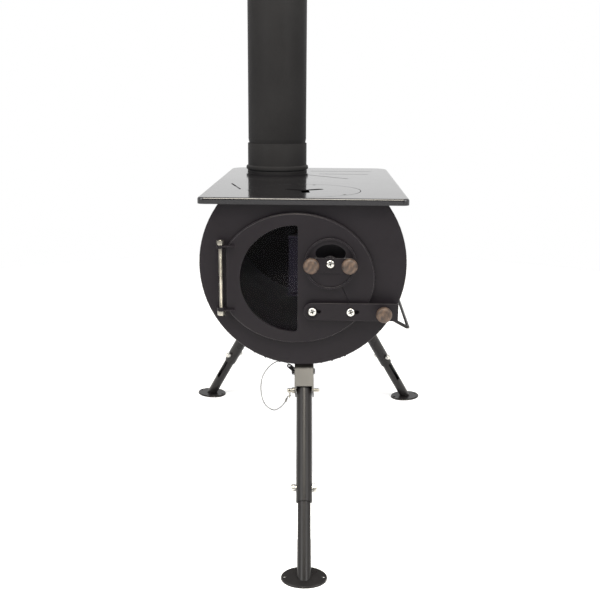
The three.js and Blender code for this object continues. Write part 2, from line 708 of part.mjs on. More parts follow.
// Path that the lock pin sweeps out of the bracket when the leg folds, as a cutter.
function lockNotch(outerSide, reach) {
  const room = LOCK_PIN_RADIUS + HOLE_CLEARANCE;
  const down = -Math.PI / 2;
  const out = down - outerSide * 40 * degrees;
  const outline = new THREE.Shape();
  outline.absarc(0, 0, LOCK_PIN_DROP + room, down, out, outerSide > 0);
  outline.absarc(0, 0, LOCK_PIN_DROP - room, out, down, outerSide < 0);
  const options = { depth: 2 * reach, bevelEnabled: false, curveSegments: 6 };
  const notch = new THREE.ExtrudeGeometry(outline, options);
  const axes = new THREE.Matrix4().makeBasis(
    new THREE.Vector3(0, 1, 0), new THREE.Vector3(0, 0, 1), new THREE.Vector3(1, 0, 0),
  );
  notch.applyMatrix4(axes);
  notch.translate(-reach, 0, 0);
  return join([notch, rodX(room, -reach, reach, 0, -LOCK_PIN_DROP, 12)]);
}

// Leg frame: origin at the pivot bolt, X along the bolt, -Z down the leg.
// outerSide is the side of local Y that faces away from the stove.
function makeLegBracket(outerSide, barrelCutter) {
  const inner = BRACKET_INNER / 2;
  const outer = inner + BRACKET_SHEET;
  const webInner = UPPER_TUBE_RADIUS + 0.5;
  const webOuter = webInner + BRACKET_SHEET;
  const top = 40;
  const along = (a, b) => (outerSide > 0 ? [a, b] : [-b, -a]);
  const cheekRange = along(-BRACKET_BACK_DEPTH, webOuter);
  const webRange = along(webInner, webOuter);
  const cheeks = [-1, 1].map((side) => {
    const xs = side > 0 ? [inner, outer] : [-outer, -inner];
    return block(...xs, ...cheekRange, BRACKET_CHEEK_BOTTOM, top);
  });
  const web = block(-outer, outer, ...webRange, BRACKET_WEB_BOTTOM, top);
  const pivotHole = rodX(PIVOT_BOLT_RADIUS + HOLE_CLEARANCE, -outer - 5, outer + 5, 0, 0, 12);
  return cut(join([web, ...cheeks]), [pivotHole, lockNotch(outerSide, outer + 5), barrelCutter]);
}

// Pivot bolt with a round head on the left and a low cap on the right; headRoom is left for a tab.
function makePivotBolt(headRoom) {
  const outer = BRACKET_INNER / 2 + BRACKET_SHEET + GAP;
  return join([
    rodX(PIVOT_BOLT_RADIUS, -outer - headRoom - 1, outer + 1, 0, 0, 12),
    rodX(5, -outer - headRoom - 2.8, -outer - headRoom, 0, 0, 12),
    rodX(4.6, outer, outer + 1.8, 0, 0, 12),
  ]);
}

// Quick-release pin: a grooved head on the left and a tip that stands out on the right.
function makeLockPin() {
  const outer = BRACKET_INNER / 2 + BRACKET_SHEET + GAP;
  const body = join([
    rodX(LOCK_PIN_RADIUS, -outer - 3, outer + 8, 0, -LOCK_PIN_DROP, 12),
    rodX(4.2, -outer - 3.6, -outer, 0, -LOCK_PIN_DROP, 12),
    rodX(3.2, -outer - 10.6, -outer - 2, 0, -LOCK_PIN_DROP, 12),
  ]);
  return cut(body, [pinRing(PIN_RING_WIRE + 0.4)]);
}

// Split ring through the pin's head.
function pinRing(wire) {
  const outer = BRACKET_INNER / 2 + BRACKET_SHEET + GAP;
  const ring = new THREE.TorusGeometry(PIN_RING_RADIUS, wire, 6, 20);
  ring.rotateY(Math.PI / 2);
  ring.translate(-outer - 7.2, 0, -LOCK_PIN_DROP - PIN_RING_RADIUS);
  return ring;
}

const CLAMP_Z = -UPPER_TUBE_LENGTH + CLAMP_FROM_END;

// Upper tube, its top rounded about the pivot so that it turns inside the bracket.
// The clamp bolt's hole is turned about the leg by clampTurn.
function makeUpperTube(clampTurn) {
  const r = UPPER_TUBE_RADIUS;
  const tube = circle(0, 0, r);
  tube.holes.push(circle(0, 0, r - TUBE_WALL));
  const body = lyingSheet(tube, -UPPER_TUBE_LENGTH, UPPER_TUBE_LENGTH + r, 0, 9);
  const keep = join([
    rodX(r, -r - 2, r + 2, 0, 0, 24),
    block(-r - 2, r + 2, -r - 2, r + 2, -UPPER_TUBE_LENGTH - 5, 0),
  ]);
  const clampHole = rodX(CLAMP_BOLT_RADIUS + HOLE_CLEARANCE, -r - 2, r + 2, 0, CLAMP_Z, 12);
  clampHole.rotateZ(clampTurn);
  return cut(common(body, keep), [
    rodX(PIVOT_BOLT_RADIUS + HOLE_CLEARANCE, -r - 2, r + 2, 0, 0, 12),
    rodX(LOCK_PIN_RADIUS + HOLE_CLEARANCE, -r - 2, r + 2, 0, -LOCK_PIN_DROP, 12),
    clampHole,
  ]);
}

// Lower tube, slotted on both sides for the clamp bolt.
function makeLowerTube(footCutter, length, clampTurn) {
  const tube = circle(0, 0, LOWER_TUBE_RADIUS);
  tube.holes.push(circle(0, 0, LOWER_TUBE_RADIUS - TUBE_WALL));
  const body = lyingSheet(tube, -length, length - UPPER_TUBE_LENGTH + LOWER_TUBE_HIDDEN, 0, 8);
  const half = CLAMP_BOLT_RADIUS + HOLE_CLEARANCE;
  const slotX = LOWER_TUBE_RADIUS + 2;
  const slot = block(-slotX, slotX, -half, half, CLAMP_Z - LEG_RETRACT - half, CLAMP_Z + LEG_EXTEND + half);
  slot.rotateZ(clampTurn);
  return cut(body, [slot, footCutter]);
}

// Clamp bolt with a deep round head on the left.
function makeClampBolt() {
  const outer = UPPER_TUBE_RADIUS + GAP;
  return join([
    rodX(CLAMP_BOLT_RADIUS, -outer - 3, outer + CLAMP_NUT_HEIGHT + 1.2, 0, CLAMP_Z, 12),
    rodX(4.8, -outer - 6.9, -outer, 0, CLAMP_Z, 12),
  ]);
}

function makeClampNut() {
  const face = UPPER_TUBE_RADIUS + GAP;
  const nut = rodX(6.3, face, face + CLAMP_NUT_HEIGHT, 0, CLAMP_Z, 6);
  return cut(nut, [rodX(CLAMP_BOLT_RADIUS + GAP, face - 1, face + CLAMP_NUT_HEIGHT + 1, 0, CLAMP_Z, 12)]);
}

// Foot: a flat oval with two fixing holes across the leg and a plug that enters the lower tube.
function makeFoot(towards, across) {
  const r = FOOT_HALF_WIDTH;
  const disc = turned([[0, 0], [r, 0], [r, FOOT_SHEET - 1], [r - 1, FOOT_SHEET], [0, FOOT_SHEET]], 32);
  disc.scale(1, FOOT_HALF_DEPTH / r, 1);
  disc.rotateZ(across);
  const plug = new THREE.CylinderGeometry(FOOT_PLUG_RADIUS, FOOT_PLUG_RADIUS, 60, 16);
  plug.rotateX(Math.PI / 2);
  plug.applyQuaternion(new THREE.Quaternion().setFromUnitVectors(new THREE.Vector3(0, 0, 1), towards));
  plug.translate(0, 0, FOOT_SHEET);
  const overDisc = block(-40, 40, -40, 40, FOOT_SHEET - 1, 30);
  const holes = [-1, 1].map((side) => rodZ(
    FOOT_HOLE_RADIUS, -1, FOOT_SHEET + 1,
    side * FOOT_HOLE_OFFSET * Math.cos(across), side * FOOT_HOLE_OFFSET * Math.sin(across), 10,
  ));
  return cut(join([disc, common(plug, overDisc)]), holes);
}

// ---------------------------------------------------------------- front lanyard

// Angle tab under the pivot bolt's head, in the leg's frame: a washer with a flat arm that
// turns to the left in front of the head and ends in an eyelet.
const TAB_ARM_TURN = 42 * degrees;
const TAB_ARM_REACH = 9;

function makeLanyardTab() {
  const outer = BRACKET_INNER / 2 + BRACKET_SHEET + GAP;
  const sheet = 1.2;
  const eye = rodX(5.5, -outer - sheet, -outer, 0, 0, 16);
  const bend = block(-outer - sheet, -outer, -6.8, 0, -3.5, 3.5);
  const inArm = (geometry) => {
    geometry.rotateY(TAB_ARM_TURN);
    geometry.translate(-outer - sheet, 0, 0);
    return geometry;
  };
  const arm = join([
    inArm(block(-TAB_ARM_REACH, -1.5, -6.8, -5.6, -3.2, 3.2)),
    inArm(rodY(3.2, -6.8, -5.6, -TAB_ARM_REACH, 0, 16)),
  ]);
  const eyelet = inArm(rodY(1.6, -8, -4, -TAB_ARM_REACH, 0, 10));
  const boltHole = rodX(PIVOT_BOLT_RADIUS + HOLE_CLEARANCE, -outer - 10, outer, 0, 0, 12);
  return cut(join([eye, bend, arm]), [boltHole, eyelet]);
}

// The wire hangs in an open loop from the tab to the split ring. Points in the leg's frame.
const LANYARD_POINTS = [
  [-21.5, -4.6, 6.0], [-21.5, -6.2, 6.0], [-21.9, -7.9, 6.6], [-24, -9.2, 9.6], [-30.3, -8, 14.4],
  [-40.6, -7, 11.8], [-49.2, -7, 5.7], [-57.9, -8, -7.5], [-60.8, -9, -19.7], [-60.8, -9, -32.9],
  [-57.9, -8, -46], [-52.4, -7, -54.8], [-42.1, -6, -60.1], [-33.5, -4.5, -55.7], [-26.8, -2, -46.9],
  [-23.2, 0, -38.2], [-19, 0, -36.6],
];

function makeLanyard() {
  const points = LANYARD_POINTS.map(([x, y, z]) => new THREE.Vector3(x, y, z));
  return barAlong(new THREE.CatmullRomCurve3(points), LANYARD_WIRE, 8, 60);
}

// ---------------------------------------------------------------- assembly

const stove = new THREE.Group();
stove.position.y = -FOOTPRINT_MIDDLE;

function add(name, geometry, material, parent = stove) {
  const mesh = new THREE.Mesh(geometry, material);
  mesh.name = name;
  parent.add(mesh);
  return mesh;
}

add('barrel_shell', makeBarrelShell(), BLACK_PAINT);
add('front_plate', makeFrontPlate(), BLACK_PAINT);
add('back_plate', makeBackPlate(), BLACK_PAINT);
add('cooking_plate', makeCookingPlate(), GLOSS_PAINT);
add('cooking_lid', makeCookingLid(), GLOSS_PAINT);
add('flue_collar', makeFlueCollar(), BLACK_PAINT);
add('flue_section', makeFlueSection(), BLACK_PAINT);

add('door_panel', makeDoorPanel(), BLACK_PAINT);
add('door_glass', makeDoorGlass(), GLASS);
add('glass_retainer', makeGlassRetainer(), BARE_STEEL);
add('door_seal', makeDoorSeal(), ROPE);
add('air_box', makeAirBox(), BARE_STEEL);
add('door_hinge_tab_upper', makeDoorHingeTab(HINGE_TOP_TAB_Z), BLACK_PAINT);
add('door_hinge_tab_lower', makeDoorHingeTab(HINGE_BOTTOM_TAB_Z), BLACK_PAINT);
add('body_hinge_tab_upper', makeBodyHingeTab(HINGE_TOP_TAB_Z - HINGE_TAB_SHEET - GAP), BLACK_PAINT);
add('body_hinge_tab_lower', makeBodyHingeTab(HINGE_BOTTOM_TAB_Z + HINGE_TAB_SHEET + GAP), BLACK_PAINT);
add('hinge_bolt', makeHingeBolt(), ZINC);
add('hinge_nut', makeHingeNut(), ZINC);

add('air_control_disc', makeSpinnerDisc(), BLACK_PAINT);
add('air_control_screw', makeScrew(SPINNER_X, SPINNER_Z, STRAP_FACE_Y - GAP), ZINC);
add('air_knob_left', makeKnob(SPINNER_X - SPINNER_KNOB_OFFSET, SPINNER_Z, STRAP_FACE_Y - GAP), WOOD);
add('air_knob_right', makeKnob(SPINNER_X + SPINNER_KNOB_OFFSET, SPINNER_Z, STRAP_FACE_Y - GAP), WOOD);

add('latch_bar', makeLatchBar(), BLACK_PAINT);
add('latch_screw_left', makeLatchScrew(LATCH_SCREW_XS[0]), ZINC);
add('latch_screw_right', makeLatchScrew(LATCH_SCREW_XS[1]), ZINC);
add('latch_knob', makeKnob(LATCH_KNOB_X, LATCH_Z + 1, LATCH_FACE_Y - GAP), WOOD);
add('latch_keeper', makeLatchKeeper(), BLACK_PAINT);

add('handle_lug_front', makeHandleLug(HANDLE_LUG_YS[0]), BLACK_PAINT);
add('handle_lug_rear', makeHandleLug(HANDLE_LUG_YS[1]), BLACK_PAINT);
add('side_handle', makeHandleWire(), BLACK_PAINT);

// A leg's pivot, its foot and the frame that points down it.
function legPlan({ side, spread, pivotX, pivotY, footY }) {
  const pivot = new THREE.Vector3(
    pivotX + side * LEG_PIVOT_RADIUS * Math.sin(spread),
    pivotY,
    BARREL_Z - LEG_PIVOT_RADIUS * Math.cos(spread),
  );
  const drop = pivot.z - FOOT_SHEET;
  const foot = new THREE.Vector3(pivot.x + side * drop * Math.tan(spread), footY, FOOT_SHEET);
  const boltAxis = new THREE.Vector3(Math.cos(spread), 0, side * Math.sin(spread));
  const up = pivot.clone().sub(foot);
  const length = up.length();
  up.normalize();
  const depth = new THREE.Vector3().crossVectors(up, boltAxis);
  const frame = new THREE.Group();
  frame.quaternion.setFromRotationMatrix(new THREE.Matrix4().makeBasis(boltAxis, depth, up));
  frame.position.copy(pivot);
  return { foot, up, length, frame, across: side * spread };
}

// The ground side of the foot plate and the barrel, as cutters in a leg's frame.
function cutterInLegFrame(plan, geometry) {
  plan.frame.updateMatrix();
  const cutter = geometry.clone();
  cutter.applyMatrix4(plan.frame.matrix.clone().invert());
  return cutter;
}

const rear = { spread: REAR_LEG_SPREAD, pivotX: 0, pivotY: REAR_PIVOT_Y, footY: REAR_FOOT_Y };
// The front leg leans a little to the right, so its bracket is set left by as much as the lean moves it.
const front = {
  side: 1,
  spread: FRONT_LEG_LEAN,
  pivotX: FRONT_PIVOT_X - LEG_PIVOT_RADIUS * Math.sin(FRONT_LEG_LEAN),
  pivotY: FRONT_PIVOT_Y,
  footY: FRONT_FOOT_Y,
};

const LEGS = [
  { name: 'front', plan: legPlan(front), outerSide: -1, clampTurn: 0 },
  { name: 'rear_left', plan: legPlan({ ...rear, side: -1 }), outerSide: 1, clampTurn: CLAMP_TURN },
  { name: 'rear_right', plan: legPlan({ ...rear, side: 1 }), outerSide: 1, clampTurn: -CLAMP_TURN },
];

// The rear right leg's loose hardware is turned round, so that its heads are on the outer side too.
function swapSides(geometry) {
  geometry.rotateZ(Math.PI);
  return geometry;
}

LEGS.forEach(({ name, plan, outerSide, clampTurn }) => {
  stove.add(plan.frame);
  const barrel = rodY(BARREL_RADIUS + GAP, -50, 600, 0, BARREL_Z, 72);
  const belowFoot = block(-400, 400, -400, 800, -200, FOOT_SHEET + GAP);
  const facing = (geometry) => (name === 'rear_right' ? swapSides(geometry) : geometry);
  const clamping = (geometry) => {
    const faced = facing(geometry);
    faced.rotateZ(clampTurn);
    return faced;
  };
  const addPart = (piece, geometry, material) => add(`${name}_${piece}`, geometry, material, plan.frame);
  addPart('leg_bracket', makeLegBracket(outerSide, cutterInLegFrame(plan, barrel)), BLACK_PAINT);
  addPart('pivot_bolt', facing(makePivotBolt(name === 'front' ? 1.8 : 0)), BLACK_PAINT);
  addPart('lock_pin', facing(makeLockPin()), ZINC);
  addPart('pin_ring', facing(pinRing(PIN_RING_WIRE)), ZINC);
  addPart('upper_tube', makeUpperTube(clampTurn), BLACK_PAINT);
  addPart('clamp_bolt', clamping(makeClampBolt()), ZINC);
  addPart('clamp_nut', clamping(makeClampNut()), ZINC);
  const tube = makeLowerTube(cutterInLegFrame(plan, belowFoot), plan.length + 10, clampTurn);
  addPart('lower_tube', tube, BLACK_PAINT);
  const footFrame = new THREE.Group();
  footFrame.position.set(plan.foot.x, plan.foot.y, 0);
  stove.add(footFrame);
  add(`${name}_foot`, makeFoot(plan.up, plan.across), BLACK_PAINT, footFrame);
});

add('front_lanyard_tab', makeLanyardTab(), BLACK_PAINT, LEGS[0].plan.frame);
add('front_pin_lanyard', makeLanyard(), ZINC, LEGS[0].plan.frame);

export default stove;
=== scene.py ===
import math

import bmesh
import bpy
from mathutils import Matrix, Vector


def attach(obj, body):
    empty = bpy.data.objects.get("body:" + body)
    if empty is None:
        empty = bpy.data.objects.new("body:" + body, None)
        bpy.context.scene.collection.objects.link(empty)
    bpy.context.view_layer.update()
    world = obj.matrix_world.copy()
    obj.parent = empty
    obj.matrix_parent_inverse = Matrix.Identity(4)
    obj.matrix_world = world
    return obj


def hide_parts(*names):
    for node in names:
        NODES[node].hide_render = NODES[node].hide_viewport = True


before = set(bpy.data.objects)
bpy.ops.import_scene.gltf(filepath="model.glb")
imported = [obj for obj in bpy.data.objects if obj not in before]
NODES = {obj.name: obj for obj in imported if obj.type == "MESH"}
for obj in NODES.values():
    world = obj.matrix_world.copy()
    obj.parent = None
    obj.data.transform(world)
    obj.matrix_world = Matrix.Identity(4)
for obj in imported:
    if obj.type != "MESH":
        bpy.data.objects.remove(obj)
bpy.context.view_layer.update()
scene = bpy.context.scene

MM = 0.001
MIDDLE = 187.72  # depth of the frame's origin behind the cooking plate's front edge, in mm

# Main places and sizes in mm, as in the CAD.
BARREL_Z = 378
PLATE_TOP = 472
PIPE_X, PIPE_Y, PIPE_TOP = -56, 393, 880
HINGE_X, HINGE_Y = -112, 2
STRAP_FACE_Y = -1.1
AIR_CONTROL_X, AIR_CONTROL_Z = 38, 383
AIR_KNOB_OFFSET = 25.8
LATCH_FACE_Y = -6.3
LATCH_SCREW_Z = 317
LATCH_KNOB_X, LATCH_KNOB_Z = 111.4, 318


def at(x, y, z):
    """A point given in the stove's own millimetres, in the frame's metres."""
    return Vector((x * MM, (y - MIDDLE) * MM, z * MM))


# ------------------------------------------------------------------ camera

CAMERA_YAW, CAMERA_PITCH, CAMERA_ROLL = -0.0282, 0.241, 0.006
FOCAL_PIXELS, PICTURE_PIXELS = 850.0, 600.0
SENSOR_WIDTH = 36.0


def make_camera():
    yaw, pitch, roll = CAMERA_YAW, CAMERA_PITCH, CAMERA_ROLL
    forward = Vector((math.sin(yaw) * math.cos(pitch), math.cos(yaw) * math.cos(pitch), -math.sin(pitch)))
    right = Vector((math.cos(yaw), -math.sin(yaw), 0))
    up = right.cross(forward)
    right_rolled = right * math.cos(roll) + up * math.sin(roll)
    up_rolled = up * math.cos(roll) - right * math.sin(roll)
    data = bpy.data.cameras.new("camera")
    data.sensor_width = SENSOR_WIDTH
    data.lens = SENSOR_WIDTH * FOCAL_PIXELS / PICTURE_PIXELS
    data.clip_end = 50
    camera = bpy.data.objects.new("camera", data)
    matrix = Matrix((right_rolled, up_rolled, -forward)).transposed().to_4x4()
    matrix.translation = at(29, -1135, 611)
    camera.matrix_world = matrix
    scene.collection.objects.link(camera)
    scene.camera = camera


make_camera()

# ------------------------------------------------------------------ mesh helpers


def add_object(name, mesh):
    obj = bpy.data.objects.new(name, mesh)
    scene.collection.objects.link(obj)
    return obj


def shade(mesh, angle=35):
    for polygon in mesh.polygons:
        polygon.use_smooth = True
    mesh.set_sharp_from_angle(angle=math.radians(angle))


def shaded_object(name, mesh, angle):
    """An object from a finished bmesh, its faces turned outwards."""
    bmesh.ops.recalc_face_normals(mesh, faces=mesh.faces)
    data = bpy.data.meshes.new(name)
    mesh.to_mesh(data)
    mesh.free()
    shade(data, angle)
    return add_object(name, data)


def bake(obj):
    """Applies an object's modifiers to its mesh."""
    graph = bpy.context.evaluated_depsgraph_get()
    mesh = bpy.data.meshes.new_from_object(obj.evaluated_get(graph))
    old = obj.data
    obj.modifiers.clear()
    obj.data = mesh
    bpy.data.meshes.remove(old)


def finish_piece(obj, material, body, nodes=(), second=None):
    """Gives a piece its material and body; its faces marked 1 take the second material."""
    marks = [polygon.material_index for polygon in obj.data.polygons]
    obj.data.materials.clear()
    obj.data.materials.append(material)
    if second:
        obj.data.materials.append(second)
        for polygon, mark in zip(obj.data.polygons, marks):
            polygon.material_index = min(mark, 1)
    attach(obj, body)
    if nodes:
        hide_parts(*nodes)
    return obj


def lathe(name, profile, segments=64, angle=40):
    """Turned mesh about Z from [radius, height] pairs in mm, closed on itself or on the axis."""
    mesh = bmesh.new()
    rings = []
    for radius, height in profile:
        if radius < 1e-6:
            rings.append([mesh.verts.new((0, 0, height * MM))])
            continue
        ring = []
        for i in range(segments):
            turn = 2 * math.pi * i / segments
            corner = (radius * MM * math.cos(turn), radius * MM * math.sin(turn), height * MM)
            ring.append(mesh.verts.new(corner))
        rings.append(ring)
    closed = len(rings[0]) > 1 and len(rings[-1]) > 1
    pairs = list(zip(rings, rings[1:])) + ([(rings[-1], rings[0])] if closed else [])
    for low, high in pairs:
        for i in range(segments):
            j = (i + 1) % segments
            if len(low) == 1:
                mesh.faces.new((low[0], high[j], high[i]))
            elif len(high) == 1:
                mesh.faces.new((low[i], low[j], high[0]))
            else:
                mesh.faces.new((low[i], low[j], high[j], high[i]))
    return shaded_object(name, mesh, angle)


def prism(name, sides, radius, low, high, bevel=0.0, turn=0.0):
    """Polygonal prism about Z in mm, its edges bevelled."""
    mesh = bmesh.new()
    rings = []
    for height in (low, high):
        rings.append([
            mesh.verts.new((
                radius * MM * math.cos(turn + 2 * math.pi * i / sides),
                radius * MM * math.sin(turn + 2 * math.pi * i / sides),
                height * MM,
            ))
            for i in range(sides)
        ])
    mesh.faces.new(list(reversed(rings[0])))
    mesh.faces.new(rings[1])
    for i in range(sides):
        j = (i + 1) % sides
        mesh.faces.new((rings[0][i], rings[0][j], rings[1][j], rings[1][i]))
    if bevel:
        bmesh.ops.bevel(
            mesh, geom=list(mesh.edges), offset=bevel * MM, segments=2, profile=0.6,
            affect="EDGES", clamp_overlap=True,
        )
    return shaded_object(name, mesh, 30)


def place(obj, matrix):
    """Moves an object's own mesh, so that the object itself stays at the origin."""
    obj.data.transform(matrix)
    return obj


def merge(name, objects):
    """One object from several."""
    mesh = bmesh.new()
    for obj in objects:
        mesh.from_mesh(obj.data)
    data = bpy.data.meshes.new(name)
    mesh.to_mesh(data)
    mesh.free()
    for obj in objects:
        old = obj.data
        bpy.data.objects.remove(obj)
        bpy.data.meshes.remove(old)
    return add_object(name, data)


def refined(node, bevel=0.0, angle=35, segments=2, flats=False):
    """A copy of a CAD sheet-metal piece with its hard edges rounded over and its curves smooth.

    With flats, the faces square to the stove's axes are shaded flat.
    """
    mesh = bmesh.new()
    mesh.from_mesh(NODES[node].data)
    mesh.transform(NODES[node].matrix_world)
    bmesh.ops.remove_doubles(mesh, verts=mesh.verts, dist=2e-5)
    bmesh.ops.dissolve_limit(
        mesh, angle_limit=math.radians(0.6), verts=mesh.verts, edges=mesh.edges, delimit={"NORMAL"},
    )
    data = bpy.data.meshes.new(node + "_detail")
    mesh.to_mesh(data)
    mesh.free()
    obj = add_object(node + "_detail", data)
    if bevel:
        for _ in range(2):
            data.materials.append(None)
        rounding = obj.modifiers.new("rounding", "BEVEL")
        rounding.material = 1
        rounding.width = bevel * MM
        rounding.segments = segments
        rounding.limit_method = "ANGLE"
        rounding.angle_limit = math.radians(angle)
        rounding.use_clamp_overlap = True
        bake(obj)
    shade(obj.data, angle)
    if flats:
        for polygon in obj.data.polygons:
            polygon.use_smooth = max(abs(part) for part in polygon.normal) < 0.99999
    weighted = obj.modifiers.new("weighted", "WEIGHTED_NORMAL")
    weighted.keep_sharp = True
    bake(obj)
    return obj


def facing_front(x, y, z):
    """Lays a turned piece along the stove's depth, its local Z pointing out of the door."""
    return Matrix.Translation(at(x, y, z)) @ Matrix.Rotation(math.pi / 2, 4, "X")


def along_z(x, y, z):
    """Stands a turned piece upright."""
    return Matrix.Translation(at(x, y, z))


# ------------------------------------------------------------------ legs' frames

REAR_SPREAD = math.radians(28)
FRONT_LEAN = math.radians(1.5)
REAR_CLAMP_TURN = math.radians(50)
PIVOT_RADIUS = 158  # from the barrel's axis to a leg's pivot bolt
FOOT_TOP = 3


def leg_matrix(side, spread, pivot, foot):
    """A leg's own axes at its pivot: X along the bolt and Z up along the tubes."""
    bolt = Vector((math.cos(spread), 0, side * math.sin(spread)))
    up = (at(*pivot) - at(*foot)).normalized()
    depth = up.cross(bolt)
    matrix = Matrix((bolt, depth, up)).transposed().to_4x4()
    matrix.translation = at(*pivot)
    return matrix


def leg_plan(name, side, spread, pivot_x, pivot_y, foot_y, clamp_turn):
    """A leg's place; side is -1 for a leg that spreads to the left and 1 to the right."""
    x = pivot_x + side * PIVOT_RADIUS * math.sin(spread)
    z = BARREL_Z - PIVOT_RADIUS * math.cos(spread)
    foot = (x + side * (z - FOOT_TOP) * math.tan(spread), foot_y, FOOT_TOP)
    matrix = leg_matrix(side, spread, (x, pivot_y, z), foot)
    return {"name": name, "clamp_turn": clamp_turn, "frame": matrix}


LEGS = [
    leg_plan("front", 1, FRONT_LEAN, 3 - PIVOT_RADIUS * math.sin(FRONT_LEAN), 27, -155, 0),
    leg_plan("rear_left", -1, REAR_SPREAD, 0, 420, 529, REAR_CLAMP_TURN),
    leg_plan("rear_right", 1, REAR_SPREAD, 0, 420, 529, -REAR_CLAMP_TURN),
]
FRONT = LEGS[0]["frame"]

# ------------------------------------------------------------------ materials


def new_material(name):
    material = bpy.data.materials.new(name)
    material.use_nodes = True
    return material, material.node_tree, material.node_tree.nodes["Principled BSDF"]


def make_group(name, inputs, outputs):
    group = bpy.data.node_groups.new(name, "ShaderNodeTree")
    for label, kind, default in inputs:
        socket = group.interface.new_socket(label, in_out="INPUT", socket_type=kind)
        if default is not None:
            socket.default_value = default
    for label, kind in outputs:
        group.interface.new_socket(label, in_out="OUTPUT", socket_type=kind)
    return group, group.nodes.new("NodeGroupInput"), group.nodes.new("NodeGroupOutput")


def noise(nodes, scale, detail=3.0, roughness=0.55):
    node = nodes.new("ShaderNodeTexNoise")
    node.inputs["Scale"].default_value = scale
    node.inputs["Detail"].default_value = detail
    node.inputs["Roughness"].default_value = roughness
    return node


def mapped(nodes, low, high, to_low, to_high):
    node = nodes.new("ShaderNodeMapRange")
    node.inputs["From Min"].default_value = low
    node.inputs["From Max"].default_value = high
    node.inputs["To Min"].default_value = to_low
    node.inputs["To Max"].default_value = to_high
    return node


def mixed(nodes, blend="MIX"):
    node = nodes.new("ShaderNodeMix")
    node.data_type = "RGBA"
    node.blend_type = blend
    return node


def make_spray_group():
    """Sprayed heat-proof paint: cloudy tone, fine orange peel, dust specks and a roughness that wanders."""
    group, entry, end = make_group(
        "spray_paint",
        [
            ("Tone", "NodeSocketColor", (0.02, 0.02, 0.02, 1)),
            ("Worn tone", "NodeSocketColor", (0.05, 0.05, 0.05, 1)),
            ("Roughness low", "NodeSocketFloat", 0.4),
            ("Roughness high", "NodeSocketFloat", 0.6),
            ("Grain", "NodeSocketFloat", 0.1),
        ],
        [("Color", "NodeSocketColor"), ("Roughness", "NodeSocketFloat"), ("Normal", "NodeSocketVector")],
    )
    nodes, links = group.nodes, group.links
    place_of = nodes.new("ShaderNodeTexCoord")
    clouds = noise(nodes, 9.0, 4.0, 0.6)
    peel = noise(nodes, 900.0, 2.0)
    specks = noise(nodes, 260.0, 5.0, 0.7)
    for texture in (clouds, peel, specks):
        links.new(place_of.outputs["Object"], texture.inputs["Vector"])
    cloud_mask = mapped(nodes, 0.35, 0.7, 0.0, 0.55)
    links.new(clouds.outputs["Fac"], cloud_mask.inputs["Value"])
    speck_mask = mapped(nodes, 0.68, 0.76, 0.0, 0.8)
    links.new(specks.outputs["Fac"], speck_mask.inputs["Value"])
    tone = mixed(nodes)
    links.new(cloud_mask.outputs["Result"], tone.inputs["Factor"])
    links.new(entry.outputs["Tone"], tone.inputs["A"])
    links.new(entry.outputs["Worn tone"], tone.inputs["B"])
    dusted = mixed(nodes)
    links.new(speck_mask.outputs["Result"], dusted.inputs["Factor"])
    links.new(tone.outputs["Result"], dusted.inputs["A"])
    links.new(entry.outputs["Worn tone"], dusted.inputs["B"])
    links.new(dusted.outputs["Result"], end.inputs["Color"])
    rough = nodes.new("ShaderNodeMapRange")
    rough.inputs["From Min"].default_value = 0.3
    rough.inputs["From Max"].default_value = 0.7
    links.new(clouds.outputs["Fac"], rough.inputs["Value"])
    links.new(entry.outputs["Roughness low"], rough.inputs["To Min"])
    links.new(entry.outputs["Roughness high"], rough.inputs["To Max"])
    links.new(rough.outputs["Result"], end.inputs["Roughness"])
    bump = nodes.new("ShaderNodeBump")
    bump.inputs["Distance"].default_value = 0.0004
    links.new(entry.outputs["Grain"], bump.inputs["Strength"])
    links.new(peel.outputs["Fac"], bump.inputs["Height"])
    links.new(bump.outputs["Normal"], end.inputs["Normal"])
    return group


SPRAY = make_spray_group()


def paint(name, tone, worn, low, high, grain, shine):
    """A sprayed paint: its tone and worn tone, roughness from low to high, orange peel and reflection."""
    material, tree, surface = new_material(name)
    group = tree.nodes.new("ShaderNodeGroup")
    group.node_tree = SPRAY
    group.inputs["Tone"].default_value = (*tone, 1)
    group.inputs["Worn tone"].default_value = (*worn, 1)
    group.inputs["Roughness low"].default_value = low
    group.inputs["Roughness high"].default_value = high
    group.inputs["Grain"].default_value = grain
    tree.links.new(group.outputs["Color"], surface.inputs["Base Color"])
    tree.links.new(group.outputs["Roughness"], surface.inputs["Roughness"])
    tree.links.new(group.outputs["Normal"], surface.inputs["Normal"])
    surface.inputs["Specular IOR Level"].default_value = shine
    return material


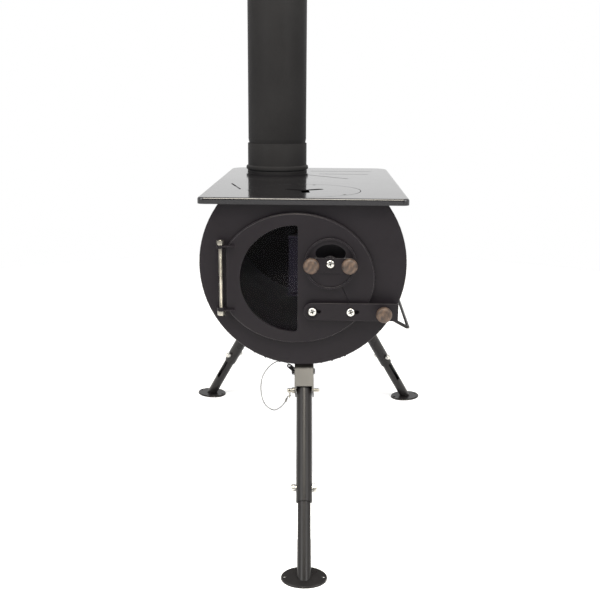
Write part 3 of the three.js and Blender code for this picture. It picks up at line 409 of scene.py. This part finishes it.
def metal(name, tone, dull, roughness, streak):
    """Plated or bare steel with streaks along one direction."""
    material, tree, surface = new_material(name)
    nodes, links = tree.nodes, tree.links
    place_of = nodes.new("ShaderNodeTexCoord")
    stretch = nodes.new("ShaderNodeMapping")
    stretch.inputs["Scale"].default_value = streak
    links.new(place_of.outputs["Object"], stretch.inputs["Vector"])
    streaks = noise(nodes, 60.0, 4.0)
    links.new(stretch.outputs["Vector"], streaks.inputs["Vector"])
    blotches = noise(nodes, 70.0, 3.0)
    links.new(place_of.outputs["Object"], blotches.inputs["Vector"])
    mask = mapped(nodes, 0.35, 0.7, 0.0, 1.0)
    links.new(blotches.outputs["Fac"], mask.inputs["Value"])
    tones = mixed(nodes)
    tones.inputs["A"].default_value = (*tone, 1)
    tones.inputs["B"].default_value = (*dull, 1)
    links.new(mask.outputs["Result"], tones.inputs["Factor"])
    links.new(tones.outputs["Result"], surface.inputs["Base Color"])
    rough = mapped(nodes, 0.3, 0.7, roughness * 0.75, roughness * 1.35)
    links.new(streaks.outputs["Fac"], rough.inputs["Value"])
    links.new(rough.outputs["Result"], surface.inputs["Roughness"])
    bump = nodes.new("ShaderNodeBump")
    bump.inputs["Strength"].default_value = 0.12
    bump.inputs["Distance"].default_value = 0.0003
    links.new(streaks.outputs["Fac"], bump.inputs["Height"])
    links.new(bump.outputs["Normal"], surface.inputs["Normal"])
    surface.inputs["Metallic"].default_value = 1.0
    return material


def make_wood():
    """Dark stained hardwood with grain along the knob's axis and pores."""
    material, tree, surface = new_material("stained_wood")
    nodes, links = tree.nodes, tree.links
    place_of = nodes.new("ShaderNodeTexCoord")
    stretch = nodes.new("ShaderNodeMapping")
    stretch.inputs["Scale"].default_value = (1.0, 0.2, 0.45)
    stretch.inputs["Rotation"].default_value = (0.25, 0.35, 0.2)
    links.new(place_of.outputs["Object"], stretch.inputs["Vector"])
    grain = noise(nodes, 420.0, 6.0, 0.65)
    rings = nodes.new("ShaderNodeTexWave")
    rings.wave_type = "RINGS"
    rings.inputs["Scale"].default_value = 60.0
    rings.inputs["Distortion"].default_value = 9.0
    rings.inputs["Detail"].default_value = 3.0
    pores = noise(nodes, 1400.0, 2.0)
    for texture in (grain, rings, pores):
        links.new(stretch.outputs["Vector"], texture.inputs["Vector"])
    ramp = nodes.new("ShaderNodeValToRGB")
    ramp.color_ramp.elements[0].position = 0.28
    ramp.color_ramp.elements[0].color = (0.014, 0.0085, 0.006, 1)
    ramp.color_ramp.elements[1].position = 0.78
    ramp.color_ramp.elements[1].color = (0.125, 0.077, 0.05, 1)
    mix = mixed(nodes)
    mix.inputs["Factor"].default_value = 0.2
    links.new(grain.outputs["Fac"], mix.inputs["A"])
    links.new(rings.outputs["Fac"], mix.inputs["B"])
    links.new(mix.outputs["Result"], ramp.inputs["Fac"])
    links.new(ramp.outputs["Color"], surface.inputs["Base Color"])
    rough = mapped(nodes, 0.3, 0.7, 0.42, 0.62)
    links.new(grain.outputs["Fac"], rough.inputs["Value"])
    links.new(rough.outputs["Result"], surface.inputs["Roughness"])
    bump = nodes.new("ShaderNodeBump")
    bump.inputs["Strength"].default_value = 0.25
    bump.inputs["Distance"].default_value = 0.0003
    links.new(pores.outputs["Fac"], bump.inputs["Height"])
    links.new(bump.outputs["Normal"], surface.inputs["Normal"])
    return material


def make_glass():
    """Clear heat-proof glass with a faint haze of soot in patches."""
    material, tree, surface = new_material("fire_glass")
    nodes, links = tree.nodes, tree.links
    place_of = nodes.new("ShaderNodeTexCoord")
    haze = noise(nodes, 14.0, 4.0)
    links.new(place_of.outputs["Object"], haze.inputs["Vector"])
    rough = mapped(nodes, 0.4, 0.8, 0.0, 0.03)
    links.new(haze.outputs["Fac"], rough.inputs["Value"])
    links.new(rough.outputs["Result"], surface.inputs["Roughness"])
    surface.inputs["Base Color"].default_value = (0.6, 0.58, 0.7, 1)
    surface.inputs["Transmission Weight"].default_value = 1.0
    surface.inputs["IOR"].default_value = 1.13
    return material


def make_rope():
    """Braided sealing rope."""
    material, tree, surface = new_material("sealing_rope")
    nodes, links = tree.nodes, tree.links
    place_of = nodes.new("ShaderNodeTexCoord")
    braid = nodes.new("ShaderNodeTexVoronoi")
    braid.inputs["Scale"].default_value = 700.0
    fluff = noise(nodes, 1500.0, 3.0)
    for texture in (braid, fluff):
        links.new(place_of.outputs["Object"], texture.inputs["Vector"])
    ramp = nodes.new("ShaderNodeValToRGB")
    ramp.color_ramp.elements[0].color = (0.03, 0.029, 0.028, 1)
    ramp.color_ramp.elements[1].color = (0.12, 0.115, 0.11, 1)
    links.new(fluff.outputs["Fac"], ramp.inputs["Fac"])
    links.new(ramp.outputs["Color"], surface.inputs["Base Color"])
    bump = nodes.new("ShaderNodeBump")
    bump.inputs["Distance"].default_value = 0.0006
    links.new(braid.outputs["Distance"], bump.inputs["Height"])
    links.new(bump.outputs["Normal"], surface.inputs["Normal"])
    surface.inputs["Roughness"].default_value = 0.95
    return material


BODY_PAINT = paint(
    "satin_black_paint", (0.0088, 0.0070, 0.0088), (0.0135, 0.0115, 0.0145), 0.42, 0.54, 0.1, 0.17,
)
INSIDE_PAINT = paint("inside_paint", (0.013, 0.011, 0.0145), (0.02, 0.018, 0.023), 0.5, 0.6, 0.1, 0.3)
PLATE_PAINT = paint(
    "semi_gloss_plate_paint", (0.0085, 0.008, 0.009), (0.014, 0.013, 0.0145), 0.08, 0.13, 0.04, 0.68,
)
FLUE_PAINT = paint("flue_paint", (0.0185, 0.0180, 0.0185), (0.026, 0.0255, 0.026), 0.34, 0.44, 0.1, 0.02)
BRACKET_PAINT = paint(
    "bracket_paint", (0.0135, 0.012, 0.0105), (0.022, 0.0202, 0.0185), 0.28, 0.38, 0.08, 0.36,
)
# Painted edge highlight: a lighter, shinier paint on the rounded edges of the door, the air control disc and
# the latch bar, for the light those edges catch.
PAINTED_EDGE_HIGHLIGHT = paint("painted_edge_highlight_paint", (0.03, 0.0285, 0.0295), (0.05, 0.048, 0.049), 0.3, 0.4, 0.08, 0.6)
# Painted shade: a near-black matte paint on the cooking lid's rounded rim, for the shade in the gap round the
# lid, and in the screws' cross recesses.
PAINTED_SHADE = paint("painted_shade_in_gaps_and_recesses", (0.003, 0.003, 0.003), (0.006, 0.006, 0.006), 0.7, 0.8, 0.1, 0.05)
LEG_PAINT = paint("leg_paint", (0.0125, 0.0115, 0.0115), (0.02, 0.0188, 0.0188), 0.24, 0.34, 0.08, 0.2)
BARE_STEEL = metal("bare_steel", (0.3, 0.3, 0.31), (0.18, 0.175, 0.18), 0.42, (0.2, 1.0, 1.0))
DULL_ZINC = metal("dull_zinc_plate", (0.44, 0.42, 0.37), (0.27, 0.255, 0.22), 0.34, (1.0, 1.0, 0.12))
ZINC = metal("zinc_plate", (0.72, 0.71, 0.67), (0.5, 0.49, 0.46), 0.25, (1.0, 1.0, 0.12))
WIRE = metal("wire_rope", (0.16, 0.157, 0.15), (0.08, 0.079, 0.076), 0.4, (1.0, 1.0, 0.3))
WOOD = make_wood()
GLASS = make_glass()
ROPE = make_rope()

# ------------------------------------------------------------------ front lanyard

LANYARD_WIRE = 1.2  # thickness
SLEEVE_AFTER_TAB, SLEEVE_BEFORE_RING = 22, 11  # places along the route, counted from its two ends
SLEEVE_PROFILE = [(0.62, -3), (1.15, -3), (1.35, -2.4), (1.35, 2.4), (1.15, 3), (0.62, 3)]
LANYARD_POINTS = [
    (-21.5, -4.6, 6.0), (-21.5, -6.2, 6.0), (-21.9, -7.9, 6.6), (-24, -9.2, 9.6), (-30.3, -8, 14.4),
    (-40.6, -7, 11.8), (-49.2, -7, 5.7), (-57.9, -8, -7.5), (-60.8, -9, -19.7), (-60.8, -9, -32.9),
    (-57.9, -8, -46), (-52.4, -7, -54.8), (-42.1, -6, -60.1), (-33.5, -4.5, -55.7), (-26.8, -2, -46.9),
    (-23.2, 0, -38.2), (-19, 0, -36.6),
]


def smooth_route(points, per_span=6):
    """Points along the same rounded route as the CAD wire, on a centripetal curve."""
    route = []
    ends = [points[0] * 2 - points[1], *points, points[-1] * 2 - points[-2]]
    for i in range(1, len(ends) - 2):
        p0, p1, p2, p3 = ends[i - 1:i + 3]
        t0 = 0.0
        t1 = t0 + math.sqrt((p1 - p0).length)
        t2 = t1 + math.sqrt((p2 - p1).length)
        t3 = t2 + math.sqrt((p3 - p2).length)
        for step in range(per_span):
            t = t1 + (t2 - t1) * step / per_span
            a1 = p0 * ((t1 - t) / (t1 - t0)) + p1 * ((t - t0) / (t1 - t0))
            a2 = p1 * ((t2 - t) / (t2 - t1)) + p2 * ((t - t1) / (t2 - t1))
            a3 = p2 * ((t3 - t) / (t3 - t2)) + p3 * ((t - t2) / (t3 - t2))
            b1 = a1 * ((t2 - t) / (t2 - t0)) + a2 * ((t - t0) / (t2 - t0))
            b2 = a2 * ((t3 - t) / (t3 - t1)) + a3 * ((t - t1) / (t3 - t1))
            route.append(b1 * ((t2 - t) / (t2 - t1)) + b2 * ((t - t1) / (t2 - t1)))
    route.append(points[-1].copy())
    return route


def make_lanyard():
    points = [FRONT @ (Vector(p) * MM) for p in LANYARD_POINTS]
    route = smooth_route(points)
    data = bpy.data.curves.new("pin_lanyard_wire", "CURVE")
    data.dimensions = "3D"
    data.bevel_depth = LANYARD_WIRE / 2 * MM
    data.bevel_resolution = 3
    data.use_fill_caps = True
    spline = data.splines.new("POLY")
    spline.points.add(len(route) - 1)
    for point, place_at in zip(spline.points, route):
        point.co = (*place_at, 1)
    wire = bpy.data.objects.new("pin_lanyard_wire", data)
    scene.collection.objects.link(wire)
    data.materials.append(WIRE)
    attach(wire, "front_leg_upper")
    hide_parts("front_pin_lanyard")
    sleeves = []
    for index in (SLEEVE_AFTER_TAB, len(route) - SLEEVE_BEFORE_RING):
        direction = (route[index + 1] - route[index - 1]).normalized()
        sleeve = lathe("lanyard_sleeve", SLEEVE_PROFILE, 20)
        turn = Vector((0, 0, 1)).rotation_difference(direction).to_matrix().to_4x4()
        place(sleeve, Matrix.Translation(route[index]) @ turn)
        sleeve.name = f"lanyard_sleeve_{len(sleeves) + 1}"
        sleeves.append(finish_piece(sleeve, WIRE, "front_leg_upper"))


make_lanyard()

# ------------------------------------------------------------------ stove body


def carry_over(node, material, body, bevel=0.0, angle=35, segments=2, edge=None, flats=False):
    """Brings a CAD piece in, its rounded edges in the edge material where one is given."""
    obj = refined(node, bevel, angle, segments, flats)
    return finish_piece(obj, material, body, [node], edge)


carry_over("barrel_shell", BODY_PAINT, "stove")
carry_over("front_plate", BODY_PAINT, "stove", 0.0, 50, flats=True)
carry_over("back_plate", BODY_PAINT, "stove", 0.0, 50, flats=True)
carry_over("cooking_plate", PLATE_PAINT, "stove", 0.7, 40, 3, flats=True)
# The lid's rounded rim takes the painted shade, a dark ring for the gap round the lid.
carry_over("cooking_lid", PLATE_PAINT, "lid", 1.0, 40, edge=PAINTED_SHADE, flats=True)
for tab in ("body_hinge_tab_upper", "body_hinge_tab_lower"):
    carry_over(tab, BODY_PAINT, "stove", 0.4)
carry_over("latch_keeper", BODY_PAINT, "stove", 0.4)


def make_flue():
    base = PLATE_TOP
    top = PIPE_TOP
    collar = lathe("flue_collar_detail", [
        (50.2, base), (52.6, base), (52.9, base + 1.0), (52.4, base + 3.2), (53.2, base + 4.2),
        (54.6, base + 5.0), (55.0, base + 6.6), (55.0, base + 8.4), (54.6, base + 10.0),
        (53.2, base + 11.0), (52.0, base + 12.2), (52.0, base + 49.4),
        (51.6, base + 50), (50.6, base + 50), (50.2, base + 49.4),
    ], 96)
    place(collar, along_z(PIPE_X, PIPE_Y, 0))
    finish_piece(collar, FLUE_PAINT, "stove", ["flue_collar"])
    pipe = lathe("flue_section_detail", [
        (48.6, 480.3), (49.3, 480), (49.6, 480.5), (49.6, 522.6), (50.0, 524.6), (50.7, 527.6), (51.0, 529.6),
        (51.0, top - 0.5), (50.7, top), (50.3, top), (50.0, top - 0.5), (50.0, 529.6), (48.9, 524),
        (48.6, 522),
    ], 96)
    place(pipe, along_z(PIPE_X, PIPE_Y, 0))
    finish_piece(pipe, FLUE_PAINT, "flue", ["flue_section"])


make_flue()

# ------------------------------------------------------------------ weld beads

BEAD_SETTINGS = {
    "Radius": 142.2 * MM,
    "Start angle": 0.0,
    "Sweep": 0.0,
    "Beads": 10,
    "Smallest": 1.3 * MM,
    "Largest": 2.7 * MM,
    "Depth": 0.0,
    "Centre height": BARREL_Z * MM,
}


def make_bead_tree():
    """Weld beads of uneven size along an arc that stands across the stove."""
    tree = bpy.data.node_groups.new("weld_beads", "GeometryNodeTree")
    for label, value in BEAD_SETTINGS.items():
        kind = "NodeSocketInt" if isinstance(value, int) else "NodeSocketFloat"
        tree.interface.new_socket(label, in_out="INPUT", socket_type=kind)
    tree.interface.new_socket("Geometry", in_out="OUTPUT", socket_type="NodeSocketGeometry")
    nodes, links = tree.nodes, tree.links
    entry = nodes.new("NodeGroupInput")
    arc = nodes.new("GeometryNodeCurveArc")
    arc.inputs["Resolution"].default_value = 64
    links.new(entry.outputs["Radius"], arc.inputs["Radius"])
    links.new(entry.outputs["Start angle"], arc.inputs["Start Angle"])
    links.new(entry.outputs["Sweep"], arc.inputs["Sweep Angle"])
    points = nodes.new("GeometryNodeCurveToPoints")
    points.mode = "COUNT"
    links.new(arc.outputs["Curve"], points.inputs["Curve"])
    links.new(entry.outputs["Beads"], points.inputs["Count"])
    bead = nodes.new("GeometryNodeMeshIcoSphere")
    bead.inputs["Radius"].default_value = 1.0
    bead.inputs["Subdivisions"].default_value = 3
    size = nodes.new("FunctionNodeRandomValue")
    size.data_type = "FLOAT"
    size.inputs["Seed"].default_value = 7
    size_low = next(socket for socket in size.inputs if socket.name == "Min" and socket.type == "VALUE")
    size_high = next(socket for socket in size.inputs if socket.name == "Max" and socket.type == "VALUE")
    size_out = next(socket for socket in size.outputs if socket.type == "VALUE")
    links.new(entry.outputs["Smallest"], size_low)
    links.new(entry.outputs["Largest"], size_high)
    spread = nodes.new("GeometryNodeInstanceOnPoints")
    links.new(points.outputs["Points"], spread.inputs["Points"])
    links.new(bead.outputs["Mesh"], spread.inputs["Instance"])
    links.new(size_out, spread.inputs["Scale"])
    whole = nodes.new("GeometryNodeRealizeInstances")
    links.new(spread.outputs["Instances"], whole.inputs["Geometry"])
    stand = nodes.new("GeometryNodeTransform")
    stand.inputs["Rotation"].default_value = (math.pi / 2, 0, 0)
    offset = nodes.new("ShaderNodeCombineXYZ")
    links.new(entry.outputs["Depth"], offset.inputs["Y"])
    links.new(entry.outputs["Centre height"], offset.inputs["Z"])
    links.new(offset.outputs["Vector"], stand.inputs["Translation"])
    links.new(whole.outputs["Geometry"], stand.inputs["Geometry"])
    coat = nodes.new("GeometryNodeSetMaterial")
    coat.inputs["Material"].default_value = BODY_PAINT
    links.new(stand.outputs["Geometry"], coat.inputs["Geometry"])
    end = nodes.new("NodeGroupOutput")
    links.new(coat.outputs["Geometry"], end.inputs["Geometry"])
    return tree


BEAD_TREE = make_bead_tree()


def weld(name, **changes):
    """One run of weld beads; changes give the settings that differ from BEAD_SETTINGS."""
    obj = add_object(name, bpy.data.meshes.new(name))
    modifier = obj.modifiers.new("beads", "NODES")
    modifier.node_group = BEAD_TREE
    values = {**BEAD_SETTINGS, **changes}
    for item in BEAD_TREE.interface.items_tree:
        if item.in_out == "INPUT":
            modifier[item.identifier] = values[item.name]
    bake(obj)
    shade(obj.data, 60)
    return finish_piece(obj, BODY_PAINT, "stove")


FRONT_WELD = (16.4 - MIDDLE) * MM  # depths of the two seams
REAR_WELD = (453.6 - MIDDLE) * MM
weld("front_weld_left", **{"Start angle": math.radians(-118), "Sweep": math.radians(15), "Depth": FRONT_WELD})
weld("front_weld_right", **{"Start angle": math.radians(-79), "Sweep": math.radians(14), "Depth": FRONT_WELD})
weld("rear_weld_left", **{"Start angle": math.radians(-150), "Sweep": math.radians(15), "Depth": REAR_WELD})
weld("rear_weld_right", **{"Start angle": math.radians(-45), "Sweep": math.radians(15), "Depth": REAR_WELD})

# ------------------------------------------------------------------ door

# The rounded edges of the door, the air control disc and the latch bar take the painted edge highlight.
carry_over("door_panel", BODY_PAINT, "door", 0.6, 30, edge=PAINTED_EDGE_HIGHLIGHT, flats=True)
carry_over("door_glass", GLASS, "door", 0.3, 40, flats=True)
carry_over("glass_retainer", BARE_STEEL, "door", 0.2, 40)
carry_over("door_seal", ROPE, "door", 1.6, 40, 3)
carry_over("air_box", INSIDE_PAINT, "door", 0.4, 40)
for tab in ("door_hinge_tab_upper", "door_hinge_tab_lower"):
    carry_over(tab, BODY_PAINT, "door", 0.4)
carry_over("air_control_disc", BODY_PAINT, "air_control", 0.5, 40, edge=PAINTED_EDGE_HIGHLIGHT, flats=True)
carry_over("latch_bar", BODY_PAINT, "latch", 0.4, 30, edge=PAINTED_EDGE_HIGHLIGHT, flats=True)


def threaded(name, radius, low, high, pitch=1.0):
    """Screw shaft with a ridge at every pitch."""
    profile = [(0, low), (radius - 0.5, low), (radius, low + 0.6)]
    height = low + 0.6
    while height + pitch < high - 0.6:
        profile += [
            (radius, height + pitch * 0.1),
            (radius - 0.38, height + pitch * 0.5),
            (radius, height + pitch * 0.9),
        ]
        height += pitch
    profile += [(radius, high - 0.6), (radius - 0.5, high), (0, high)]
    return lathe(name, profile, 24, 20)


def hex_nut(name, radius, low, high, bore):
    nut = prism(name, 6, radius, low, high, 0.5)
    hole = lathe("hole", [(0, low - 1), (bore, low - 1), (bore, high + 1), (0, high + 1)], 32)
    cut_out(nut, hole)
    return nut


def cut_out(obj, *cutters):
    """Takes the cutters' shapes out of an object; cut faces keep the cutter's material."""
    for cutter in cutters:
        boolean = obj.modifiers.new("cut", "BOOLEAN")
        boolean.operation = "DIFFERENCE"
        boolean.solver = "EXACT"
        boolean.material_mode = "TRANSFER"
        boolean.object = cutter
    bake(obj)
    for cutter in cutters:
        old = cutter.data
        bpy.data.objects.remove(cutter)
        bpy.data.meshes.remove(old)
    shade(obj.data, 35)


def make_hinge_bolt():
    head = prism("head", 6, 5.6, 308.6, 314.9, 0.5)
    shaft = threaded("shaft", 2.95, 314.5, 414.0)
    bolt = merge("hinge_bolt_detail", [head, shaft])
    place(bolt, along_z(HINGE_X, HINGE_Y, 0))
    finish_piece(bolt, DULL_ZINC, "stove", ["hinge_bolt"])
    nut = hex_nut("hinge_nut_detail", 5.6, 407.4, 413.5, 3.2)
    place(nut, along_z(HINGE_X, HINGE_Y, 0))
    finish_piece(nut, DULL_ZINC, "stove", ["hinge_nut"])


make_hinge_bolt()


def cross_screw(name, tip_length, spacer=None):
    """Pan-head screw with a cross recess, its head on +Z above z 0 and its shank below, in mm."""
    head = lathe(name, [
        (0, -tip_length), (1.9, -tip_length), (2.5, -tip_length + 0.8), (2.5, 0), (5.5, 0), (5.75, 0.4),
        (5.6, 1.3), (5.0, 2.0), (3.8, 2.5), (2.0, 2.76), (0, 2.8),
    ], 48, 45)
    if spacer:
        low, high, radius = spacer
        sleeve = lathe("sleeve", [(2.6, low), (radius, low), (radius, high), (2.6, high)], 32)
        head = merge(name, [head, sleeve])
    cutters = []
    for turn in (0.35, 0.35 + math.pi / 2):
        bar = prism("bar", 4, 1.0, 1.2, 4.5, 0.0, math.pi / 4)
        bar.data.transform(Matrix.Diagonal((4.4, 0.95, 1, 1)))
        bar.data.transform(Matrix.Rotation(turn, 4, "Z"))
        # The cross recess is cut with the painted shade, a near-black paint for the shade inside it.
        bar.data.materials.append(PAINTED_SHADE)
        cutters.append(bar)
    head.data.materials.append(ZINC)
    cut_out(head, *cutters)
    return head


def make_door_screws():
    middle = cross_screw("air_control_screw_detail", 9.1)
    place(middle, facing_front(AIR_CONTROL_X, STRAP_FACE_Y, AIR_CONTROL_Z))
    finish_piece(middle, ZINC, "door", ["air_control_screw"], PAINTED_SHADE)
    for side, x in (("left", 14.2), ("right", 66.6)):
        # the spacer fills the room between the bar's back and the door
        screw = cross_screw(f"latch_screw_{side}_detail", 14.2, (-9.2, -3.7, 4.8))
        place(screw, facing_front(x, LATCH_FACE_Y, LATCH_SCREW_Z))
        finish_piece(screw, ZINC, "door", [f"latch_screw_{side}"], PAINTED_SHADE)


make_door_screws()


def make_knobs():
    profile = [
        (0, 0), (6.2, 0), (6.6, 0.5), (6.5, 1.8), (6.2, 3.2), (6.3, 4.8), (7.2, 7.0), (8.6, 9.6),
        (9.9, 12.0), (10.6, 14.2), (10.8, 16.2), (10.55, 18.2), (9.6, 20.0), (8.0, 21.1), (5.5, 21.75),
        (2.8, 21.98), (0, 22),
    ]
    for name, body, x, y, z in (
        ("air_knob_left", "air_control", AIR_CONTROL_X - AIR_KNOB_OFFSET, STRAP_FACE_Y, AIR_CONTROL_Z),
        ("air_knob_right", "air_control", AIR_CONTROL_X + AIR_KNOB_OFFSET, STRAP_FACE_Y, AIR_CONTROL_Z),
        ("latch_knob", "latch", LATCH_KNOB_X, LATCH_FACE_Y, LATCH_KNOB_Z),
    ):
        knob = lathe(name + "_detail", profile, 56, 60)
        place(knob, facing_front(x, y, z))
        finish_piece(knob, WOOD, body, [name])


make_knobs()

# ------------------------------------------------------------------ side handle

carry_over("side_handle", LEG_PAINT, "handle", 0.0, 60)
for lug in ("handle_lug_front", "handle_lug_rear"):
    carry_over(lug, BODY_PAINT, "stove", 0.3, 60)

# ------------------------------------------------------------------ legs


def hardware_frame(leg):
    """The frame for a leg's pins and bolts, which face the other way on the rear right leg."""
    turn = Matrix.Rotation(math.pi, 4, "Z") if leg["name"] == "rear_right" else Matrix.Identity(4)
    return leg["frame"] @ turn


# Lay a turned piece along a leg's pivot axis, its local Z towards -X or +X.
TO_LEFT = Matrix.Rotation(-math.pi / 2, 4, "Y")
TO_RIGHT = Matrix.Rotation(math.pi / 2, 4, "Y")

CHEEK = 13.6  # from the leg's middle to the pin's and the pivot bolt's heads
CLAMP_FACE = 11.3  # from the tube's middle to the clamp bolt's head and nut
PIN_Z, CLAMP_Z = -29, -168.5  # along the leg, from its pivot
RING_RADIUS, RING_WIRE, RING_HOLE = 5.5, 0.75, 1.15


def in_leg(x, y, z):
    return Matrix.Translation(Vector((x, y, z)) * MM)


def make_leg_hardware(leg):
    name = leg["name"]
    hardware = hardware_frame(leg)
    upper = f"{name}_leg_upper"
    cheek = CHEEK

    pin = lathe(f"{name}_lock_pin_detail", [
        (0, -cheek - 8), (1.2, -cheek - 7.9), (2.2, -cheek - 7.0), (2.5, -cheek - 6.2), (2.5, cheek),
        (4.0, cheek), (4.2, cheek + 0.4), (4.2, cheek + 3.0), (3.8, cheek + 3.6), (3.2, cheek + 3.8),
        (2.9, cheek + 4.4), (2.9, cheek + 9.6), (2.6, cheek + 10.4), (0, cheek + 10.6),
    ], 40)
    ring_hole = torus("ring_hole", RING_RADIUS, RING_HOLE, cheek + 7.2)
    cut_out(pin, ring_hole)
    place(pin, hardware @ in_leg(0, 0, PIN_Z) @ TO_LEFT)
    finish_piece(pin, DULL_ZINC, f"{name}_lock_pin_set", [f"{name}_lock_pin"])
    ring = torus(f"{name}_pin_ring_detail", RING_RADIUS, RING_WIRE, cheek + 7.2)
    place(ring, hardware @ in_leg(0, 0, PIN_Z) @ TO_LEFT)
    finish_piece(ring, DULL_ZINC, f"{name}_lock_pin_set", [f"{name}_pin_ring"])

    room = 1.8 if name == "front" else 0.0  # the front bolt also holds the lanyard tab's washer
    pivot = lathe(f"{name}_pivot_bolt_detail", [
        (0, -cheek - 1.8), (2.4, -cheek - 1.75), (3.9, -cheek - 1.3), (4.6, -cheek - 0.5), (4.6, -cheek),
        (3, -cheek), (3, cheek + room), (4.9, cheek + room), (5.0, cheek + room + 0.8),
        (4.3, cheek + room + 1.9), (2.6, cheek + room + 2.7), (0, cheek + room + 2.8),
    ], 40)
    place(pivot, hardware @ TO_LEFT)
    finish_piece(pivot, BODY_PAINT, "stove", [f"{name}_pivot_bolt"])

    face = CLAMP_FACE
    clamping = hardware @ Matrix.Rotation(leg["clamp_turn"], 4, "Z") @ in_leg(0, 0, CLAMP_Z)
    clamp = lathe(f"{name}_clamp_bolt_detail", [
        (0, -face - 7), (2.5, -face - 7), (3, -face - 6.5), (3, face), (4.5, face), (4.8, face + 0.4),
        (4.8, face + 5.4), (4.3, face + 6.3), (2.9, face + 6.85), (0, face + 6.9),
    ], 40)
    place(clamp, clamping @ TO_LEFT)
    finish_piece(clamp, ZINC, upper, [f"{name}_clamp_bolt"])
    nut = hex_nut(f"{name}_clamp_nut_detail", 6.2, face + 0.05, face + 5.75, 3.25)
    place(nut, clamping @ TO_RIGHT)
    finish_piece(nut, ZINC, f"{name}_nut", [f"{name}_clamp_nut"])


def torus(name, major, minor, height):
    """Ring through a pin's head: it hangs below the pin, its plane square to the pin."""
    mesh = bmesh.new()
    rings = []
    for i in range(48):
        turn = 2 * math.pi * i / 48
        ring = []
        for j in range(16):
            tilt = 2 * math.pi * j / 16
            radius = major + minor * math.cos(tilt)
            # pieces are turned by TO_LEFT later, which carries local -X to the leg's -Z
            ring.append(mesh.verts.new((
                (-major + radius * math.cos(turn)) * MM, radius * math.sin(turn) * MM,
                (height + minor * math.sin(tilt)) * MM,
            )))
        rings.append(ring)
    for i in range(48):
        for j in range(16):
            a, b = rings[i], rings[(i + 1) % 48]
            mesh.faces.new((a[j], b[j], b[(j + 1) % 16], a[(j + 1) % 16]))
    return shaded_object(name, mesh, 60)


for leg in LEGS:
    name = leg["name"]
    upper, lower = f"{name}_leg_upper", f"{name}_leg_lower"
    carry_over(f"{name}_leg_bracket", BRACKET_PAINT, "stove", 0.45, 40)
    carry_over(f"{name}_upper_tube", LEG_PAINT, upper, 0.3, 40)
    carry_over(f"{name}_lower_tube", LEG_PAINT, lower, 0.2, 40)
    carry_over(f"{name}_foot", LEG_PAINT, lower, 0.25, 40)
    make_leg_hardware(leg)
carry_over("front_lanyard_tab", LEG_PAINT, "front_leg_upper", 0.25, 40)

# ------------------------------------------------------------------ studio


def make_floor():
    mesh = bmesh.new()
    bmesh.ops.create_circle(mesh, cap_ends=True, segments=96, radius=1.9)
    data = bpy.data.meshes.new("floor")
    mesh.to_mesh(data)
    mesh.free()
    floor = add_object("floor", data)
    material, _, surface = new_material("studio_floor")
    surface.inputs["Base Color"].default_value = (0.93, 0.93, 0.93, 1)
    surface.inputs["Roughness"].default_value = 0.9
    surface.inputs["Specular IOR Level"].default_value = 0.1
    surface.inputs["Emission Color"].default_value = (1, 1, 1, 1)
    surface.inputs["Emission Strength"].default_value = 0.35
    data.materials.append(material)


def soft_light(name, place_at, target, size, size_y, power, colour=(1, 1, 1)):
    data = bpy.data.lights.new(name, "AREA")
    data.shape = "RECTANGLE"
    data.size = size
    data.size_y = size_y
    data.energy = power
    data.color = colour
    light = bpy.data.objects.new(name, data)
    light.location = place_at
    light.rotation_euler = (Vector(target) - Vector(place_at)).to_track_quat("-Z", "Y").to_euler()
    scene.collection.objects.link(light)


def make_world():
    """White surroundings, with a weaker white that only fills the diffuse light."""
    world = bpy.data.worlds.new("studio")
    world.use_nodes = True
    nodes, links = world.node_tree.nodes, world.node_tree.links
    nodes.clear()
    end = nodes.new("ShaderNodeOutputWorld")
    seen = nodes.new("ShaderNodeBackground")
    seen.inputs["Color"].default_value = (1, 1, 1, 1)
    fill = nodes.new("ShaderNodeBackground")
    fill.inputs["Color"].default_value = (1, 1, 1, 1)
    fill.inputs["Strength"].default_value = 0.5
    path = nodes.new("ShaderNodeLightPath")
    mix = nodes.new("ShaderNodeMixShader")
    # the studio is darker behind the camera, for the reflections; a view from behind also shows it
    place_of = nodes.new("ShaderNodeTexCoord")
    split = nodes.new("ShaderNodeSeparateXYZ")
    links.new(place_of.outputs["Generated"], split.inputs["Vector"])
    ahead = mapped(nodes, -0.3, -0.55, 0.0, 1.0)
    links.new(split.outputs["Y"], ahead.inputs["Value"])
    above = mapped(nodes, 0.02, 0.12, 0.0, 1.0)
    links.new(split.outputs["Z"], above.inputs["Value"])
    dark_side = nodes.new("ShaderNodeMath")
    dark_side.operation = "MULTIPLY"
    links.new(ahead.outputs["Result"], dark_side.inputs[0])
    links.new(above.outputs["Result"], dark_side.inputs[1])
    glow = mapped(nodes, 0.0, 1.0, 1.0, 0.12)
    links.new(dark_side.outputs["Value"], glow.inputs["Value"])
    links.new(glow.outputs["Result"], seen.inputs["Strength"])
    sharp = nodes.new("ShaderNodeMath")
    sharp.operation = "SUBTRACT"
    sharp.inputs[0].default_value = 1.0
    links.new(path.outputs["Is Diffuse Ray"], sharp.inputs[1])
    links.new(sharp.outputs["Value"], mix.inputs["Fac"])
    links.new(fill.outputs["Background"], mix.inputs[1])
    links.new(seen.outputs["Background"], mix.inputs[2])
    links.new(mix.outputs["Shader"], end.inputs["Surface"])
    scene.world = world


make_floor()
make_world()
scene.view_settings.view_transform = "Standard"
soft_light("key_left", (-2.0, -1.9, 1.9), (0, 0, 0.4), 1.4, 1.8, 48)
soft_light("key_right", (2.0, -1.8, 1.7), (0, 0, 0.4), 1.4, 1.8, 42)
soft_light("overhead", (0, -1.3, 2.6), (0, -0.3, 0.2), 1.2, 1.0, 75, (1.0, 0.94, 0.82))
